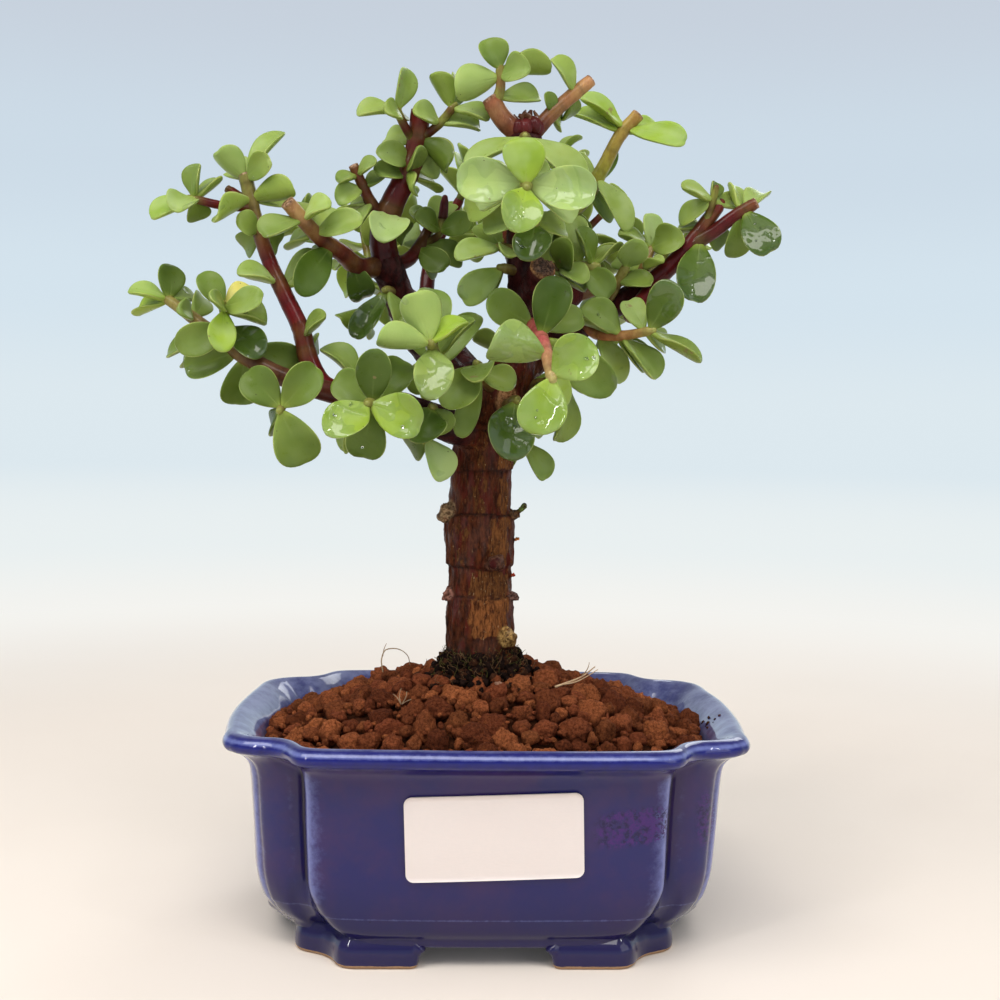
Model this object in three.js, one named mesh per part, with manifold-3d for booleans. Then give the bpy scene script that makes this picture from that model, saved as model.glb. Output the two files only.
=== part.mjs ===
// Dwarf jade bonsai (Portulacaria afra) in a blue glazed pot with indented corners.
// Millimetres, +Z up, the pot's front towards -Y. The feet stand on z = 0.
import * as THREE from 'three';
import manifoldModule from 'manifold-3d';

const wasm = await manifoldModule();
wasm.setup();
const { Manifold, Mesh: ManifoldMesh } = wasm;

// ---- Driving dimensions -------------------------------------------------------------

const POT = {
  length: 140,          // rim, along X
  depth: 110,           // rim, along Y
  panelHalf: 48.7,      // half the front panel's width at the rim
  cornerX: 64.8,        // the set-back corner of the rim
  cornerY: 38.4,
  bulge: 1.4,           // how far the front panel bows out at its middle
  floorTop: 9.6,
  rimTop: 57.3,
};
// Outer wall and cavity as [height, inset from the rim's outline].
const OUTER_WALL = [
  [5, 12.3], [7.2, 11.7], [8.9, 9.9], [13, 8.7], [46, 6.6],
  [50, 5.3], [52.2, 2.9], [53.6, 0.7], [56, 0.1], [57.3, 1.8],
];
const CAVITY_WALL = [[57, 4.8], [54.6, 7.4], [50.6, 10], [44, 11.2], [14, 12.8], [9.6, 16]];
const DRAIN = { x: 26, radius: 5.5, meshRadius: 9, meshThick: 0.8 };
// An L-shaped foot: its front arm runs along X at frontY, its side arm along Y at sideX.
const FOOT = {
  height: 6,
  width: 8.4,
  frontX: 16.8,
  notchX: 35.6,
  sideX: 48.9,
  frontY: 44.7,
  notchY: 30.6,
  backY: 12.8,
};
const LABEL = { width: 44, height: 21.6, thick: 0.6, corner: 2, x: 1.6, z: 34.7, tilt: 2 };
const SOIL = {
  edge: 51,             // height of the mound at the pot's wall
  crown: 69,            // and at the trunk
  crumb: 12.6,          // width of a crumb of the relief, larger than life
  valley: 2.2,          // depth between crumbs
  fineness: 0.1,
};
const GAP = 0.3;        // clearance between neighbouring pieces
const SEED = 20;
const LEAF_THICK = 2;
const LARGE_LEAF = 9.9; // leaves wider than this get a finer shape
const BUD_LENGTH = 1.4; // of the bud that ends a stem
const STOUT_STEM = 1.8; // stems of a larger radius than this get more sides
const FINENESS = 0.2;   // leafy stems are simplified within this

// A leaf is bent and rolled by the first of these pairs of degrees that clears its neighbours.
const BENDS = [
  [0, 0], [8, 0], [-8, 0], [16, 0], [-16, 0], [0, 20], [0, -20], [26, 0],
  [-26, 0], [14, 25], [14, -25], [-14, 25], [-14, -25], [38, 0], [-38, 0],
];
const BLADE_CLEARANCE = 1.9; // from the middle of one blade to the surface samples of another
const STEM_CLEARANCE = 1.1;
const MOST_CLASHES = 0;      // samples of a leaf that may stay too near to something else

// ---- The tree -----------------------------------------------------------------------
// Places in the tree are [x, z, y]: where the point lines up on the plane of the trunk
// for an eye at EYE, and how far it lies behind that plane (before it, if negative).

const EYE = new THREE.Vector3(-9.1, -385, 139.5);

// Trunk and main limbs: [radius, x, z, y] along each.
const LIMBS = [
  ['trunk', [
    [9.6, -1.5, 60, 0], [9.3, -1.7, 76, 0], [9.0, -2.0, 98, 0], [8.7, -2.2, 118, 0],
    [8.4, -1.2, 130, 0], [7.8, 1.8, 141, 0], [6.2, 5.8, 151, -1], [4.4, 8.8, 160, -2],
    [3.8, 8.4, 172, -3], [3.6, 7.6, 185, -4], [3.5, 8.0, 200, -5], [4.3, 8.7, 211, -6],
    [4.5, 8.8, 216, -6]]],
  ['stub', [[3.4, 8.6, 166, -3], [3.5, 11.5, 173, -8], [3.6, 14.2, 178.6, -14]]],
  ['high left', [
    [5.2, 0, 140, 1], [4.6, -12, 150, 10], [4.2, -22, 162, 12], [4.2, -25.5, 171, 9],
    [4.6, -28.5, 178, 6]]],
  ['low left', [[4.8, -1, 131, -3], [4.4, -14, 136, -12], [3.8, -27, 140.5, -18],
    [3.2, -40, 142.6, -19]]],
  ['right', [[4.8, 4, 147, 1], [4.2, 15, 156, 6], [3.8, 28, 165, 8], [3.3, 40, 172, 6]]],
  ['back left', [[4.6, 0, 143, 3], [3.6, -9, 154, 24], [2.8, -18, 167, 38]]],
  ['back right', [[4.4, 4, 150, 3], [3.4, 12, 161, 22], [2.7, 23, 171, 38]]],
];
// Knobs left on the trunk by old shoots: [radius, root, end].
const KNOBS = [
  [1.6, [-9, 111, -2], [-12.4, 112.4, -3]], [1.3, [5, 111, -2], [8.6, 112.6, -3]],
  [1.3, [-9, 88, -3], [-11.6, 89, -4]], [1.4, [5, 88, -3], [8.2, 89.4, -4]],
  [1.5, [0, 96, -6], [1.4, 97.4, -10.6]], [2.2, [3, 73, -4], [6.4, 76.5, -8.6]],
];

// Leafy stems: [name, stems, tufts]. A stem is [radius at root, radius at end, places].
// A tuft is [x, z, y, leaves] at a node of a stem, and a leaf is [x, z, y, turn, width]:
// its tip, how far its face is rolled from the eye up to the sky in degrees, and its width.
const SPRAYS = [
  ['far_left', [
    [2.9, 1.4, [[-40, 142.6, -19], [-54, 146.5, -22], [-67, 153, -20], [-78, 161, -13],
      [-87.5, 167.8, -8]]],
    [1.4, 1.2, [[-70, 155, -18], [-71.8, 161, -21], [-72.6, 166, -24]]],
    [1.5, 1.2, [[-54, 146.3, -22], [-55.5, 142, -27], [-57, 139, -31]]],
  ], [
    [-87.5, 167.8, -8, [[-86.5, 177.5, -7, 20, 8.5], [-98.3, 171.5, -10, 62, 7],
      [-80.3, 174.6, -5, 40, 6],
      [-96.6, 164.6, -3, 60, 7], [-79, 168.6, -3, 66, 7]]],
    [-80.5, 163.2, -11, [[-84.5, 165.8, -18, 60, 6], [-78.5, 169, -4, 30, 7]]],
    [-72.6, 166, -24, [[-78.3, 175.5, -26, 15, 7.5], [-64.2, 171.6, -20, 50, 7],
      [-60.3, 167, -29, 25, 8],
      [-74.8, 173.2, -31, 0, 5], [-71.4, 177, -19, 75, 5]]],
    [-72.6, 165.2, -24, [[-73.4, 154.3, -31, 0, 7.4], [-60.4, 164.6, -22, 60, 8],
      [-81.2, 167.2, -31, 30, 6]]],
    [-71.8, 160.6, -21, [[-61.8, 154.2, -29, 0, 10.4], [-84.6, 154.6, -26, 5, 8.8]]],
    [-74, 157.5, -16, [[-89.2, 155, -14, 55, 8], [-86.6, 152.4, -8, 50, 7]]],
    [-68.5, 154, -19, [[-53.2, 151, -25, 5, 10.2], [-83.2, 148.4, -18, 10, 8.5]]],
    [-67, 152.5, -20, [[-69.3, 139.3, -15, 10, 10.6]]],
    [-57, 139, -31, [[-46.6, 149.8, -33, 0, 9.4], [-66.4, 149, -32, 0, 9.6]]],
    [-57, 138.4, -31, [[-50.8, 123.3, -28, 0, 11.8], [-60.2, 133, -22, 60, 6]]],
  ]],
  ['low_left_rise', [
    [2.9, 1.7, [[-40, 142.6, -19], [-46, 146, -18], [-49.5, 152.5, -17], [-51.5, 160, -16],
      [-55.5, 168.5, -14],
      [-60, 178, -12], [-63.5, 188, -11], [-66.6, 200.5, -10]]],
    [1.3, 1.3, [[-65.5, 194, -10], [-70.6, 197.2, -8]]],
    [1.2, 1.1, [[-65.4, 193, -11], [-73, 193.4, -14], [-80.6, 195, -16]]],
  ], [
    [-66.8, 200.5, -10, [[-74.4, 208.6, -13, 150, 8.6], [-58.6, 215, -7, 60, 7],
      [-58.2, 204.6, -15, 50, 7],
      [-71, 207, -3, 10, 8]]],
    [-65.4, 195.2, -10, [[-53.4, 201.2, -13, 150, 7.5], [-54, 196.6, -5, 30, 8],
      [-78.8, 193.6, -21, 130, 8.5]]],
    [-80.6, 195, -16, [[-80.6, 204.6, -17, -50, 6], [-77.4, 204.6, -12, -65, 6],
      [-92.8, 191, -18, 60, 7.5],
      [-85.6, 187.8, -20, 30, 8.4], [-78.6, 188.6, -12, 20, 7]]],
    [-63, 186.8, -11, [[-67.8, 182, -4, 10, 7], [-56.2, 182, -6, 10, 7], [-68.4, 190, -17, 45, 7]]],
    [-57.6, 173, -13, [[-66.4, 175.8, -7, 35, 6], [-69.6, 171.8, -17, 60, 7]]],
    [-56, 171.5, -13, [[-45.6, 182, -6, 20, 9]]],
    [-50.6, 158.8, -16, [[-45.6, 164.4, -22, 60, 7], [-55.6, 162.8, -20, 60, 7]]],
    [-49.5, 154, -17, [[-46.8, 158.2, -9, 60, 6]]],
  ]],
  ['high_left_low', [
    [2.9, 1.6, [[-28.5, 178, 6], [-36, 177.6, 1], [-41, 181.4, -5], [-46, 184.6, -9], [-50, 188.6, -13],
      [-54.6, 193.6, -16]]],
  ], [
    [-51.2, 190.2, -14, [[-50.2, 197.4, -10, 10, 7.4], [-44.8, 195.4, -19, 70, 7],
      [-62.6, 186.8, -21, 60, 8]]],
    [-48, 186.6, -11, [[-57.4, 185.6, -5, 60, 7], [-35.6, 191, -18, 30, 8.2],
      [-42.6, 195.2, -4, 10, 8]]],
    [-43.5, 183, -7, [[-53.8, 170.4, -17, 0, 9.4], [-56, 177.6, -1, 20, 8]]],
    [-38, 179, -2, [[-34, 168, 4, 0, 8]]],
    [-33, 177.6, 3, [[-42.6, 171.8, 9, 35, 8], [-42.4, 160.4, 16, 0, 9.4]]],
  ]],
  ['high_left_rise', [
    [4.0, 2.4, [[-28.5, 178, 6], [-29.6, 187, 5], [-27, 195, 4], [-22.6, 204, 3], [-20.6, 212, 2],
      [-19.8, 218.4, 1]]],
    [2.1, 1.3, [[-30, 190, 5], [-33, 195, 3], [-37.2, 203.6, 0]]],
    [1.3, 1.1, [[-21.2, 211, 2], [-24.8, 217, -2], [-26, 219.6, -3]]],
    [1.3, 1.1, [[-20.2, 212, 2], [-15, 216, -1], [-11.2, 220.6, -3]]],
  ], [
    [-26, 219.6, -3, [[-23, 231, -4, 40, 7.4], [-37, 220.4, -5, 68, 7]]],
    [-25.4, 217.8, -3, [[-32, 217.4, -7, 35, 6.6], [-22.4, 220.6, 4, 30, 6]]],
    [-11.2, 220.6, -3, [[-15.6, 230.4, -5, 150, 7.4], [-1.2, 220.4, -6, 66, 7], [-9, 229.6, 3, 40, 7]]],
    [-14.4, 216.6, -1, [[-21.6, 220.6, -6, 45, 7], [-3.2, 217, 0, 60, 7]]],
    [-20.6, 212, 2, [[-10.4, 205.6, -2, 140, 8.4], [-30.2, 212.4, 7, 25, 7.4]]],
    [-22.2, 206, 3, [[-30.6, 209, -4, 20, 7.4], [-14, 203.4, 6, 30, 7]]],
    [-23.4, 203.4, 2, [[-20.6, 210.2, -6, 45, 6], [-32.4, 201.6, 0, 30, 7.4],
      [-26.4, 199.4, -7, 60, 6]]],
    [-22.4, 202.6, 4, [[-11.4, 203.6, 9, 50, 7], [-17.2, 195.6, 12, 20, 8]]],
    [-37, 202, 0, [[-31.2, 206, -3, 55, 6], [-42.4, 201, -2, 60, 6]]],
    [-35.2, 198.6, 1, [[-42.2, 197, -3, 30, 6.4], [-28.6, 201.4, 6, 40, 6]]],
    [-33.4, 194.4, 3, [[-39.6, 194, 6, 60, 6], [-37.6, 189, -4, 60, 6]]],
    [-29.4, 193, 0, [[-28.8, 185.8, -9, 8, 11]]],
    [-31.6, 178, 2, [[-22.4, 180.6, -4, 45, 7.6]]],
    [-27, 190, 6, [[-21.4, 184.6, 14, 20, 7.4]]],
  ]],
  ['high_left_thin', [
    [2.3, 1.3, [[-28.5, 178, 6], [-22.4, 180, 12], [-19, 184.6, 15], [-17, 189, 16]]],
    [1.2, 1.0, [[-19.4, 184, 15], [-14.6, 186.6, 16], [-13.4, 192, 16]]],
    [1.4, 1.2, [[-13.4, 191, 16], [-13, 195.4, 16]]],
  ], [
    [-17, 188.6, 16, [[-22.8, 193, 13, 45, 7], [-12, 197, 24, 20, 8]]],
    [-14.2, 187.6, 16, [[-20.4, 192.4, 7, 40, 7], [-5.4, 190.4, 12, 20, 8]]],
    [-20.4, 182.6, 14, [[-12.2, 177.6, 9, 0, 7.6], [-25, 190, 22, 10, 8]]],
    [-19.4, 184, 15, [[-7, 180, 19, 30, 8], [-10.6, 174.4, 22, 10, 8]]],
  ]],
  ['high_left_hang', [
    [1.7, 1.3, [[-25.5, 171, 9], [-28.5, 171.4, 2]]],
  ], [
    [-28.5, 171.4, 2, [[-36.4, 157.8, -3, 20, 7.6], [-21.4, 160, 0, 40, 7]]],
  ]],
  ['front_left_up', [
    [2.1, 1.5, [[-12, 147, 7], [-14, 151, -10], [-16.2, 157, -30]]],
  ], [
    [-16.4, 157.6, -31, [[-21, 171.4, -33, 170, 10.6], [-31.4, 159.4, -34, 150, 9],
      [-9.8, 167.6, -33, 50, 8]]],
    [-15.8, 156, -28, [[-15, 143.2, -38, 8, 10.2], [-14.6, 172.8, -22, 0, 9.4]]],
    [-14.8, 153.4, -18, [[-21.6, 144.4, -22, 10, 8], [-5.2, 164.8, -20, 45, 8]]],
    [-13.8, 150.6, -8, [[-4, 166.6, -4, 20, 8], [-24, 165, -6, 20, 8]]],
  ]],
  ['front_left_low', [
    [2.2, 1.5, [[-27, 140.5, -18], [-30, 140.4, -26], [-33, 140.5, -37]]],
    [1.5, 1.2, [[-33.5, 141.8, -19], [-35.2, 146, -16]]],
  ], [
    [-33, 141, -37, [[-43.6, 133, -46, 20, 11], [-18.6, 135.4, -41, 8, 11]]],
    [-32.8, 140.6, -34, [[-31.2, 156.4, -36, 0, 9.2], [-34.8, 124.8, -33, 0, 10.4]]],
    [-32, 140.6, -30, [[-43, 147.2, -30, 10, 9], [-23.4, 153.4, -27, 0, 9.4]]],
    [-29.6, 139.6, -25, [[-26, 131.4, -22, 50, 7]]],
    [-35.4, 146, -16, [[-47.4, 152.4, -13, 60, 8.6]]],
    [-39.8, 141, -19, [[-41.2, 127, -17, 68, 8.6]]],
  ]],
  ['under_left', [
    [1.8, 1.4, [[-14, 136, -12], [-15.6, 139.6, -20]]],
    [1.6, 1.3, [[-14, 136, -12], [-17, 131.6, -14]]],
  ], [
    [-15.6, 139.6, -20, [[-20, 129.4, -25, 0, 11], [-11.8, 134, -24, 20, 8]]],
    [-17, 131.4, -14, [[-11.4, 120.2, -16, 30, 8.6], [-24.6, 128, -8, 20, 9]]],
  ]],
  ['front_mid', [
    [1.9, 1.4, [[1.5, 144, -3], [-2, 149, -12], [-3.5, 151.5, -18]]],
  ], [
    [-3.4, 151.5, -18, [[-12.4, 138.8, -21, 0, 10], [-1.8, 141.8, -24, 0, 9.2]]],
    [-2.4, 149.8, -14, [[-8.4, 131.6, -11, 0, 6.4], [6.6, 146, -17, 20, 8]]],
  ]],
  ['front_trunk', [
    [1.9, 1.5, [[4, 140, -5], [7, 142, -13]]],
  ], [
    [7, 142, -13, [[4.4, 126.6, -21, 5, 13.2], [17, 133, -10, 30, 8]]],
  ]],
  ['under_right', [
    [1.8, 1.3, [[5, 146, 1], [13, 146.6, 2], [21, 148.6, 0]]],
    [1.6, 1.3, [[4, 138, 3], [9.4, 131, 8]]],
  ], [
    [21, 148.6, 0, [[20.4, 130.4, -3, 68, 9], [25.6, 142.4, -6, 40, 7.4]]],
    [13, 146.6, 2, [[9.6, 150, -8, 0, 7], [19, 138, 10, 20, 8]]],
    [9.4, 131, 8, [[16.4, 120.6, 6, 40, 7.6], [3, 122.6, 16, 30, 8]]],
  ]],
  ['pink_shoot', [
    [2.2, 1.5, [[9, 163, -3], [11.6, 162.4, -12], [13.8, 159.4, -23], [15.4, 155, -33],
      [17, 148.8, -39]]],
  ], [
    [17, 148.8, -39, [[13.4, 132.8, -43, 0, 12.4], [28.2, 157.6, -43, 0, 12.2]]],
    [15.4, 154.4, -33.5, [[-0.6, 158.4, -39, 160, 12.4], [20.8, 139.2, -26, 30, 7.4]]],
    [13.9, 159.2, -23, [[18.4, 176, -25, 0, 10.2], [33.4, 145.4, -31, 0, 10.6]]],
    [11.4, 162.2, -12, [[-0.8, 170, -15, 0, 9.8], [25.6, 165.8, -14, 10, 8]]],
  ]],
  ['top_left', [
    [2.9, 2.5, [[6.4, 214.6, -6], [2.6, 218, -7], [-0.4, 222.4, -8]]],
    [1.5, 1.2, [[0.2, 221.6, -8], [1.7, 226, -9], [1.6, 231, -10]]],
  ], [
    [1.6, 231, -10, [[-1.6, 240, -12, 20, 8], [14.8, 233.2, -6, 140, 8.6]]],
    [1.5, 229.2, -10, [[-10, 226, -14, 165, 9.6], [10.4, 230, -15, 55, 8]]],
    [0.8, 223.8, -8, [[12.6, 221.6, 1, 50, 7.6], [-6, 219, 0, 40, 7]]],
  ]],
  ['top_right', [
    [2.2, 1.8, [[11, 214.4, -5], [15.6, 219.6, -4], [20.4, 224, -3], [25.2, 228, -2]]],
  ], [
    [21.6, 225.4, -3, [[15, 234.4, -5, 60, 7], [21, 218, 4, 60, 6]]],
    [16, 220, -4, [[14.6, 225.4, -7, 30, 4.6], [19.4, 216.8, 4, 50, 6]]],
  ]],
  ['top_pair', [
    [2.0, 1.4, [[8.6, 212.4, -7], [8.6, 213.4, -11.6]]],
  ], [
    [8.4, 213.2, -10.4, [[-8.2, 206.6, -14, 50, 8], [26.6, 203.6, -15, 50, 8.6]]],
  ]],
  ['front_high', [
    [2.1, 1.5, [[8.2, 204, -5], [8.6, 203.4, -18], [9.2, 200.2, -34]]],
  ], [
    [9.2, 200, -34, [[8.4, 213.4, -36, 0, 10.6], [7, 188.6, -41, 12, 11]]],
    [9.2, 200.4, -31, [[-9.8, 201, -34, 10, 11.6], [28.2, 198, -35, 10, 11.6]]],
    [8.9, 201.6, -26, [[-4, 194, -26, 40, 8], [23, 192, -26, 40, 8.6]]],
    [8.7, 202.6, -21, [[15, 205.8, -25, 10, 6.4], [-8.8, 193.4, -12, 10, 9]]],
  ]],
  ['front_high_low', [
    [1.9, 1.4, [[7.8, 193, -5], [9.6, 192, -16], [11.6, 190.4, -24]]],
  ], [
    [11.6, 190.2, -24, [[10.4, 180.4, -30, 0, 10.2], [20.6, 189.6, -19, 30, 8]]],
    [9.4, 192, -15, [[-3.4, 191, -15, 20, 8], [17, 188, -8, 40, 7]]],
  ]],
  ['olive_shoot', [
    [2.5, 1.6, [[8, 186, -3], [17, 190, 8], [25, 197, 13], [30, 205.6, 13], [35.2, 215.4, 13],
      [38.4, 219, 13]]],
  ], [
    [35.6, 216.4, 13, [[24, 225, 9, 60, 8], [52.6, 213, 8, 50, 8]]],
    [35, 215.2, 13, [[21.8, 221.4, 15, 50, 8], [46.4, 217.2, 21, 50, 8]]],
    [28.4, 202.6, 13, [[38, 190.6, 3, 40, 7.6], [19.4, 208.6, 20, 10, 8]]],
    [26.6, 199.6, 13, [[33, 191.4, 18, 30, 8], [30.6, 212, 22, 40, 6]]],
    [22, 194.4, 11, [[24, 186, 16, 10, 8]]],
  ]],
  ['left_of_leader', [
    [1.9, 1.3, [[7.6, 182, -4], [2.6, 183.6, -10]]],
    [1.7, 1.3, [[8, 177, -4], [3.2, 178, -8]]],
  ], [
    [2.6, 183.6, -10, [[-9.6, 181.6, -17, 45, 8], [-3.4, 190.4, -4, 10, 8]]],
    [3.2, 178, -8, [[-8.4, 170.2, -12, 15, 8.6], [-2, 172.4, -1, 20, 7]]],
    [4.4, 183, -8, [[1, 175.6, -16, 0, 6.4]]],
  ]],
  ['right_of_stub', [
    [1.9, 1.4, [[8, 176, -2], [16, 178, 2], [27.6, 179, 0]]],
  ], [
    [27.6, 179, 0, [[24, 189.8, -4, 50, 8], [34.6, 186, 3, 60, 8]]],
    [18.6, 178.6, 2, [[24.4, 187.6, -3, 10, 9], [26, 176, -6, 20, 7.6]]],
    [16.4, 178, 2, [[26.6, 173.6, 0, 55, 8], [14, 189, 10, 10, 9]]],
    [24, 179, 1, [[21.4, 191, 9, 10, 8], [31, 170.4, 6, 20, 8]]],
  ]],
  ['right_inner', [
    [2.0, 1.3, [[28, 165, 8], [33, 172, 4], [36.6, 178.6, 1]]],
  ], [
    [36.6, 178.6, 1, [[39.6, 187, -4, 10, 8.6], [33, 184.6, -5, 40, 6]]],
    [34.8, 175, 3, [[26.6, 175.8, -6, 35, 8.4], [43.4, 176.2, -3, 40, 7]]],
    [33, 172, 4, [[24, 180.6, 13, 10, 8], [42, 166, -2, 20, 7]]],
  ]],
  ['right_mid', [
    [1.8, 1.3, [[40, 172, 6], [41.4, 177.6, 4], [43.6, 184, 6]]],
  ], [
    [43.6, 184, 6, [[53.2, 186.6, 1, 20, 8.6], [34.6, 189, 5, 55, 7]]],
    [43.4, 183.6, 6, [[40.6, 192, 10, 40, 6], [48.4, 190.6, 12, 20, 7]]],
    [41.6, 178.2, 4, [[48.2, 180.8, -2, 60, 6], [33.4, 181.4, 12, 20, 7]]],
  ]],
  ['right_tip', [
    [2.9, 1.9, [[40, 172, 6], [46, 176.6, 4], [50.6, 181, 3], [55.4, 187, 3], [61.6, 195.6, 2]]],
    [2.0, 1.7, [[54.4, 185, 3], [60.6, 188.8, 1], [66, 193, 0], [71, 196.2, -1]]],
    [1.2, 1.0, [[58.6, 191.4, 2], [60.8, 199.6, -1]]],
    [2.4, 2.3, [[44.6, 174, 4], [38.6, 166, -4]]],
  ], [
    [60.2, 197.4, 0, [[51.6, 201.4, -3, 60, 7], [60.6, 202.2, 2, 40, 4.4]]],
    [60.2, 197, 0, [[68.2, 196.8, 7, 50, 6], [54.6, 191, 9, 40, 7]]],
    [58.6, 190.4, 1, [[50.4, 195.2, -6, 45, 7.4], [63.6, 184.6, 7, 20, 7]]],
    [57.6, 190, 3, [[47, 196.4, 6, 50, 7.6]]],
    [69, 195, -1, [[76.4, 183.4, -9, 15, 10], [74.8, 200.6, 4, 40, 7.6]]],
    [68, 194.4, 0, [[65.6, 201.8, 6, 50, 6.4], [67.6, 181.6, 2, 20, 7.4]]],
    [57, 186.4, 2, [[55.6, 169.8, -8, 0, 11]]],
  ]],
  ['right_low', [
    [1.7, 1.2, [[26, 163.6, 5], [29, 160.6, -3], [36, 160.2, -9], [43.6, 161.6, -14]]],
  ], [
    [43.6, 161.6, -14, [[50.8, 174.6, -20, 0, 9.8], [58.4, 153.6, -17, 66, 8]]],
    [42.6, 161.4, -13, [[48.8, 157.4, -4, 40, 7], [37, 168, -5, 20, 7]]],
    [36, 160.2, -9, [[29.6, 171.2, -14, 40, 8.4], [47.4, 150.2, -13, 60, 8.4]]],
    [34.6, 160.2, -8, [[25.6, 171.6, -5, 62, 7.6], [43.6, 151.6, -3, 40, 8]]],
    [29.6, 160.4, -3, [[37.4, 148, -5, 30, 8.4]]],
  ]],
];

// Leafy stems of the back of the crown, whose leaves follow from a rule:
// [name, [radius at root, radius at end, places], shoots]. A shoot is
// [root, tip, pairs of leaves, leaf length, turn of the first pair].
const BACK_SPRAYS = [
  ['back_left_low', [2.6, 1.4, [[-18, 167, 38], [-31, 176, 46], [-43, 184, 45]]], [
    [[-43, 184, 45], [-49, 188, 43], 2, 13, 10],
    [[-33, 177, 46], [-35, 187, 50], 3, 12.5, 30],
    [[-27, 173, 44], [-34, 166, 46], 2, 12.5, 45]]],
  ['back_left_high', [2.5, 1.4, [[-18, 167, 38], [-16, 182, 46], [-9, 196, 45]]], [
    [[-9, 196, 45], [-6, 203, 43], 3, 12.5, 20],
    [[-16, 183, 46], [-24, 191, 49], 3, 12.5, 0],
    [[-13, 188, 46], [-6, 188, 56], 2, 12.5, 40]]],
  ['back_right_high', [2.4, 1.4, [[23, 171, 38], [23, 186, 46], [19, 200, 45]]], [
    [[19, 200, 45], [17, 208, 42], 3, 12.5, 20],
    [[23, 186, 46], [30, 193, 46], 2, 12.5, 0],
    [[23, 180, 44], [14, 182, 54], 2, 12.5, 40]]],
  ['back_right_low', [2.3, 1.3, [[23, 171, 38], [35, 175, 42], [47, 181, 36]]], [
    [[47, 181, 36], [53, 185, 32], 2, 12.5, 10],
    [[36, 175, 42], [39, 183, 46], 3, 12.5, 30],
    [[30, 173, 41], [33, 166, 45], 2, 13, 45]]],
  ['back_low', [2.4, 1.4, [[1, 142, 4], [-3, 147, 22], [4, 153, 36]]], [
    [[4, 153, 36], [6, 159, 41], 3, 13, 20],
    [[-2, 148, 25], [-10, 148, 34], 2, 13, 40],
    [[0, 150, 30], [11, 147, 38], 2, 13, 60]]],
  ['back_mid', [2.4, 1.4, [[7.5, 176, -1], [5, 183, 18], [3, 190, 32]]], [
    [[3, 190, 32], [4, 197, 33], 3, 12.5, 10],
    [[5, 184, 20], [-4, 187, 27], 2, 12, 40],
    [[4, 187, 26], [13, 188, 36], 2, 12, 70]]],
];

// ---- Points and solids --------------------------------------------------------------

/** Seeded random numbers from 0 to 1. */
function seededRandom(seed) {
  let state = seed;
  return () => {
    state = (state + 0x6d2b79f5) | 0;
    let t = Math.imul(state ^ (state >>> 15), state | 1);
    t ^= t + Math.imul(t ^ (t >>> 7), t | 61);
    return ((t ^ (t >>> 14)) >>> 0) / 4294967296;
  };
}

/** A place of the tree, [x, z, y] as the eye lines it up, as a real point. */
function place([x, z, y]) {
  return new THREE.Vector3(x, 0, z).sub(EYE).multiplyScalar(1 - y / EYE.y).add(EYE);
}

/** Closed solid from points and triangles that face outwards. */
function solid(points, triangles) {
  return new Manifold(new ManifoldMesh({
    numProp: 3,
    vertProperties: new Float32Array(points.flatMap((point) => point.toArray())),
    triVerts: new Uint32Array(triangles.flat()),
  }));
}

/** Closed solid through rings of equal length, with a flat cap on the first and the last. */
function loft(rings) {
  const count = rings[0].length;
  const lastStart = (rings.length - 1) * count;
  const triangles = [];
  for (let start = 0; start < lastStart; start += count) {
    for (let i = 0; i < count; i++) {
      const a = start + i;
      const b = start + (i + 1) % count;
      triangles.push([a, b, b + count], [a, b + count, a + count]);
    }
  }
  for (const [a, b, c] of capFaces(rings[0])) triangles.push([a, c, b]);
  for (const face of capFaces(rings.at(-1))) triangles.push(face.map((i) => i + lastStart));
  return solid(rings.flat(), triangles);
}

/** Triangles that fill a flat ring, seen counter-clockwise from the side it faces. */
function capFaces(ring) {
  const [u, v] = ringAxes(ring);
  const flat = ring.map((point) => new THREE.Vector2(point.dot(u), point.dot(v)));
  return THREE.ShapeUtils.triangulateShape(flat, []);
}

/** Two axes in a ring's plane, right-handed about the direction it turns around. */
function ringAxes(ring) {
  const normal = new THREE.Vector3();
  ring.forEach((point, i) => {
    const next = ring[(i + 1) % ring.length];
    normal.add(point.clone().sub(ring[0]).cross(next.clone().sub(ring[0])));
  });
  normal.normalize();
  const u = ring[1].clone().sub(ring[0]).normalize();
  return [u, normal.cross(u)];
}

/** Round tube through points, with a radius at each, closed at both ends. */
function tube(points, radii, sides) {
  let side = new THREE.Vector3(1, 3, 0);
  return loft(points.map((point, i) => {
    const ahead = points[Math.min(i + 1, points.length - 1)];
    const along = ahead.clone().sub(points[Math.max(i - 1, 0)]).normalize();
    side = side.clone().addScaledVector(along, -side.dot(along)).normalize();
    const across = along.clone().cross(side);
    return Array.from({ length: sides }, (_, k) => {
      const angle = (2 * Math.PI * k) / sides;
      return point.clone()
        .addScaledVector(side, radii[i] * Math.cos(angle))
        .addScaledVector(across, radii[i] * Math.sin(angle));
    });
  }));
}

/** The largest body of a solid, without specks cut loose from it. */
function largestBody(shape) {
  return shape.decompose().sort((a, b) => b.volume() - a.volume())[0];
}

// ---- Pot, drain meshes and label ----------------------------------------------------

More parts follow.
